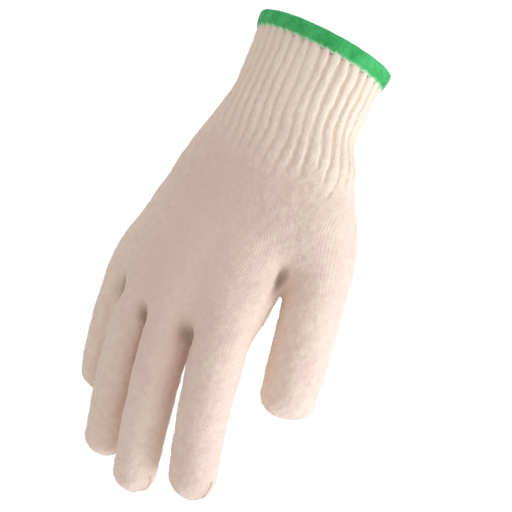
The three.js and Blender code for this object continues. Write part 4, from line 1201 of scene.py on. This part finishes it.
def threadMaterial(name, look):
    material, tree, shader = yarnMaterial(name, look)
    place = tree.nodes.new("ShaderNodeTexCoord")
    split = tree.nodes.new("ShaderNodeSeparateXYZ")
    tree.links.new(place.outputs["UV"], split.inputs[0])
    slant = mathNode(tree, "MULTIPLY_ADD", split.outputs[1], -hem["slant"], split.outputs[0])
    threads = mathNode(tree, "ABSOLUTE", mathNode(tree, "SINE", mathNode(tree, "MULTIPLY", slant, math.pi)))
    fine = noiseOn(tree, place, *look["fine"])
    patches = noiseOn(tree, place, *look["patches"])
    level = mathNode(tree, "MULTIPLY", threads, look["threadShare"])
    level = mathNode(tree, "MULTIPLY_ADD", fine, look["fineShare"], level)
    tone = mathNode(tree, "MULTIPLY_ADD", patches, look["patchShare"], level)
    colours = [look[key] for key in ("deep", "colour", "light")]
    colour = addRamp(tree, tone, list(zip(look["steps"], colours)))
    # the threads spread at the lower border and let the cotton show
    border = mathNode(tree, "MULTIPLY_ADD", fine, look["fringeFine"], split.outputs[1])
    border = mathNode(tree, "MULTIPLY_ADD", threads, -look["fringeThread"], border)
    border = mathNode(tree, "ADD", border, look["fringe"])
    border = mathNode(tree, "MULTIPLY", border, look["fringeShare"], clamp=True)
    tree.links.new(mixColour(tree, border, colour, look["pale"]), shader.inputs["Base Color"])
    addBump(tree, look, level)
    return material


hemPoints, hemQuads, hemUv = hemPiece()
thread = threadMaterial("overlockThread", threadLook)
addPiece("overlock_edge", hemPoints, hemQuads, hemUv, None, thread, "overlock_hem")
stageNote(f"hem {2 * len(hemQuads)} triangles")

# floor, light and camera, in metres; a light's offset is in the photo's own directions:
# right, up and towards the camera
studio = dict(floorHalf=2, floorZ=-0.9, floorColour=(0.9, 0.9, 0.9, 1), floorRoughness=0.9,
              backdrop=(1, 1, 1, 1), glow=0.72, whiter=0.32)
lights = dict(upperKey=dict(offset=(1.0, 0.7, 0.6), size=0.5, power=4.8, colour=(0.93, 1.0, 1.04)),
              lowerKey=dict(offset=(0.9, -0.9, 0.3), size=0.5, power=9.6, colour=(0.88, 1.0, 1.12)))
floorMesh = bpy.data.meshes.new("floor")
half, floorZ = studio["floorHalf"], studio["floorZ"]
floorCorners = [(x * half, y * half, floorZ) for x, y in ((-1, -1), (1, -1), (1, 1), (-1, 1))]
floorMesh.from_pydata(floorCorners, [], [(0, 1, 2, 3)])
floor = bpy.data.objects.new("floor", floorMesh)
bpy.context.scene.collection.objects.link(floor)
floorMaterial = bpy.data.materials.new("paleFloor")
floorMaterial.use_nodes = True
floorShader = floorMaterial.node_tree.nodes["Principled BSDF"]
floorShader.inputs["Base Color"].default_value = studio["floorColour"]
floorShader.inputs["Roughness"].default_value = studio["floorRoughness"]
floorMesh.materials.append(floorMaterial)

world = bpy.data.worlds.new("studio")
bpy.context.scene.world = world
world.use_nodes = True
background = world.node_tree.nodes["Background"]
background.inputs["Color"].default_value = studio["backdrop"]
seen = world.node_tree.nodes.new("ShaderNodeLightPath")
# the backdrop looks white, while the light that it gives is softer
strength = mathNode(world.node_tree, "MULTIPLY_ADD", seen.outputs["Is Camera Ray"], studio["whiter"],
                    studio["glow"])
world.node_tree.links.new(strength, background.inputs["Strength"])

azimuth, elevation, roll = (math.radians(camera[key]) for key in ("azimuth", "elevation", "roll"))
sight = Vector((math.sin(azimuth) * math.cos(elevation), -math.cos(azimuth) * math.cos(elevation),
                math.sin(elevation)))
level = Vector((math.cos(azimuth), math.sin(azimuth), 0))
upright = sight.cross(level)
right = level * math.cos(roll) + upright * math.sin(roll)
up = upright * math.cos(roll) - level * math.sin(roll)
target = (Vector(camera["target"]) + right * camera["shift"][0] + up * camera["shift"][1]) * mm
cameraData = bpy.data.cameras.new("photoView")
cameraObject = bpy.data.objects.new("photoView", cameraData)
bpy.context.scene.collection.objects.link(cameraObject)
place = target + sight * camera["distance"] * mm
cameraObject.matrix_world = Matrix(((right.x, up.x, sight.x, place.x),
                                    (right.y, up.y, sight.y, place.y),
                                    (right.z, up.z, sight.z, place.z), (0, 0, 0, 1)))
cameraData.sensor_width = camera["sensor"]
fieldMm = camera["photoPixels"] / camera["pixelsPerMm"]
cameraData.lens = camera["sensor"] * camera["distance"] / fieldMm
cameraData.clip_end = 100
bpy.context.scene.camera = cameraObject


def areaLight(name, offset, size, power, colour):
    data = bpy.data.lights.new(name, "AREA")
    data.size = size
    data.energy = power
    data.color = colour
    light = bpy.data.objects.new(name, data)
    bpy.context.scene.collection.objects.link(light)
    light.location = target + right * offset[0] + up * offset[1] + sight * offset[2]
    light.rotation_euler = (target - light.location).to_track_quat("-Z", "Y").to_euler()


for name, light in lights.items():
    areaLight(name, **light)
bpy.context.scene.view_settings.view_transform = "Standard"
stageNote("light and camera")
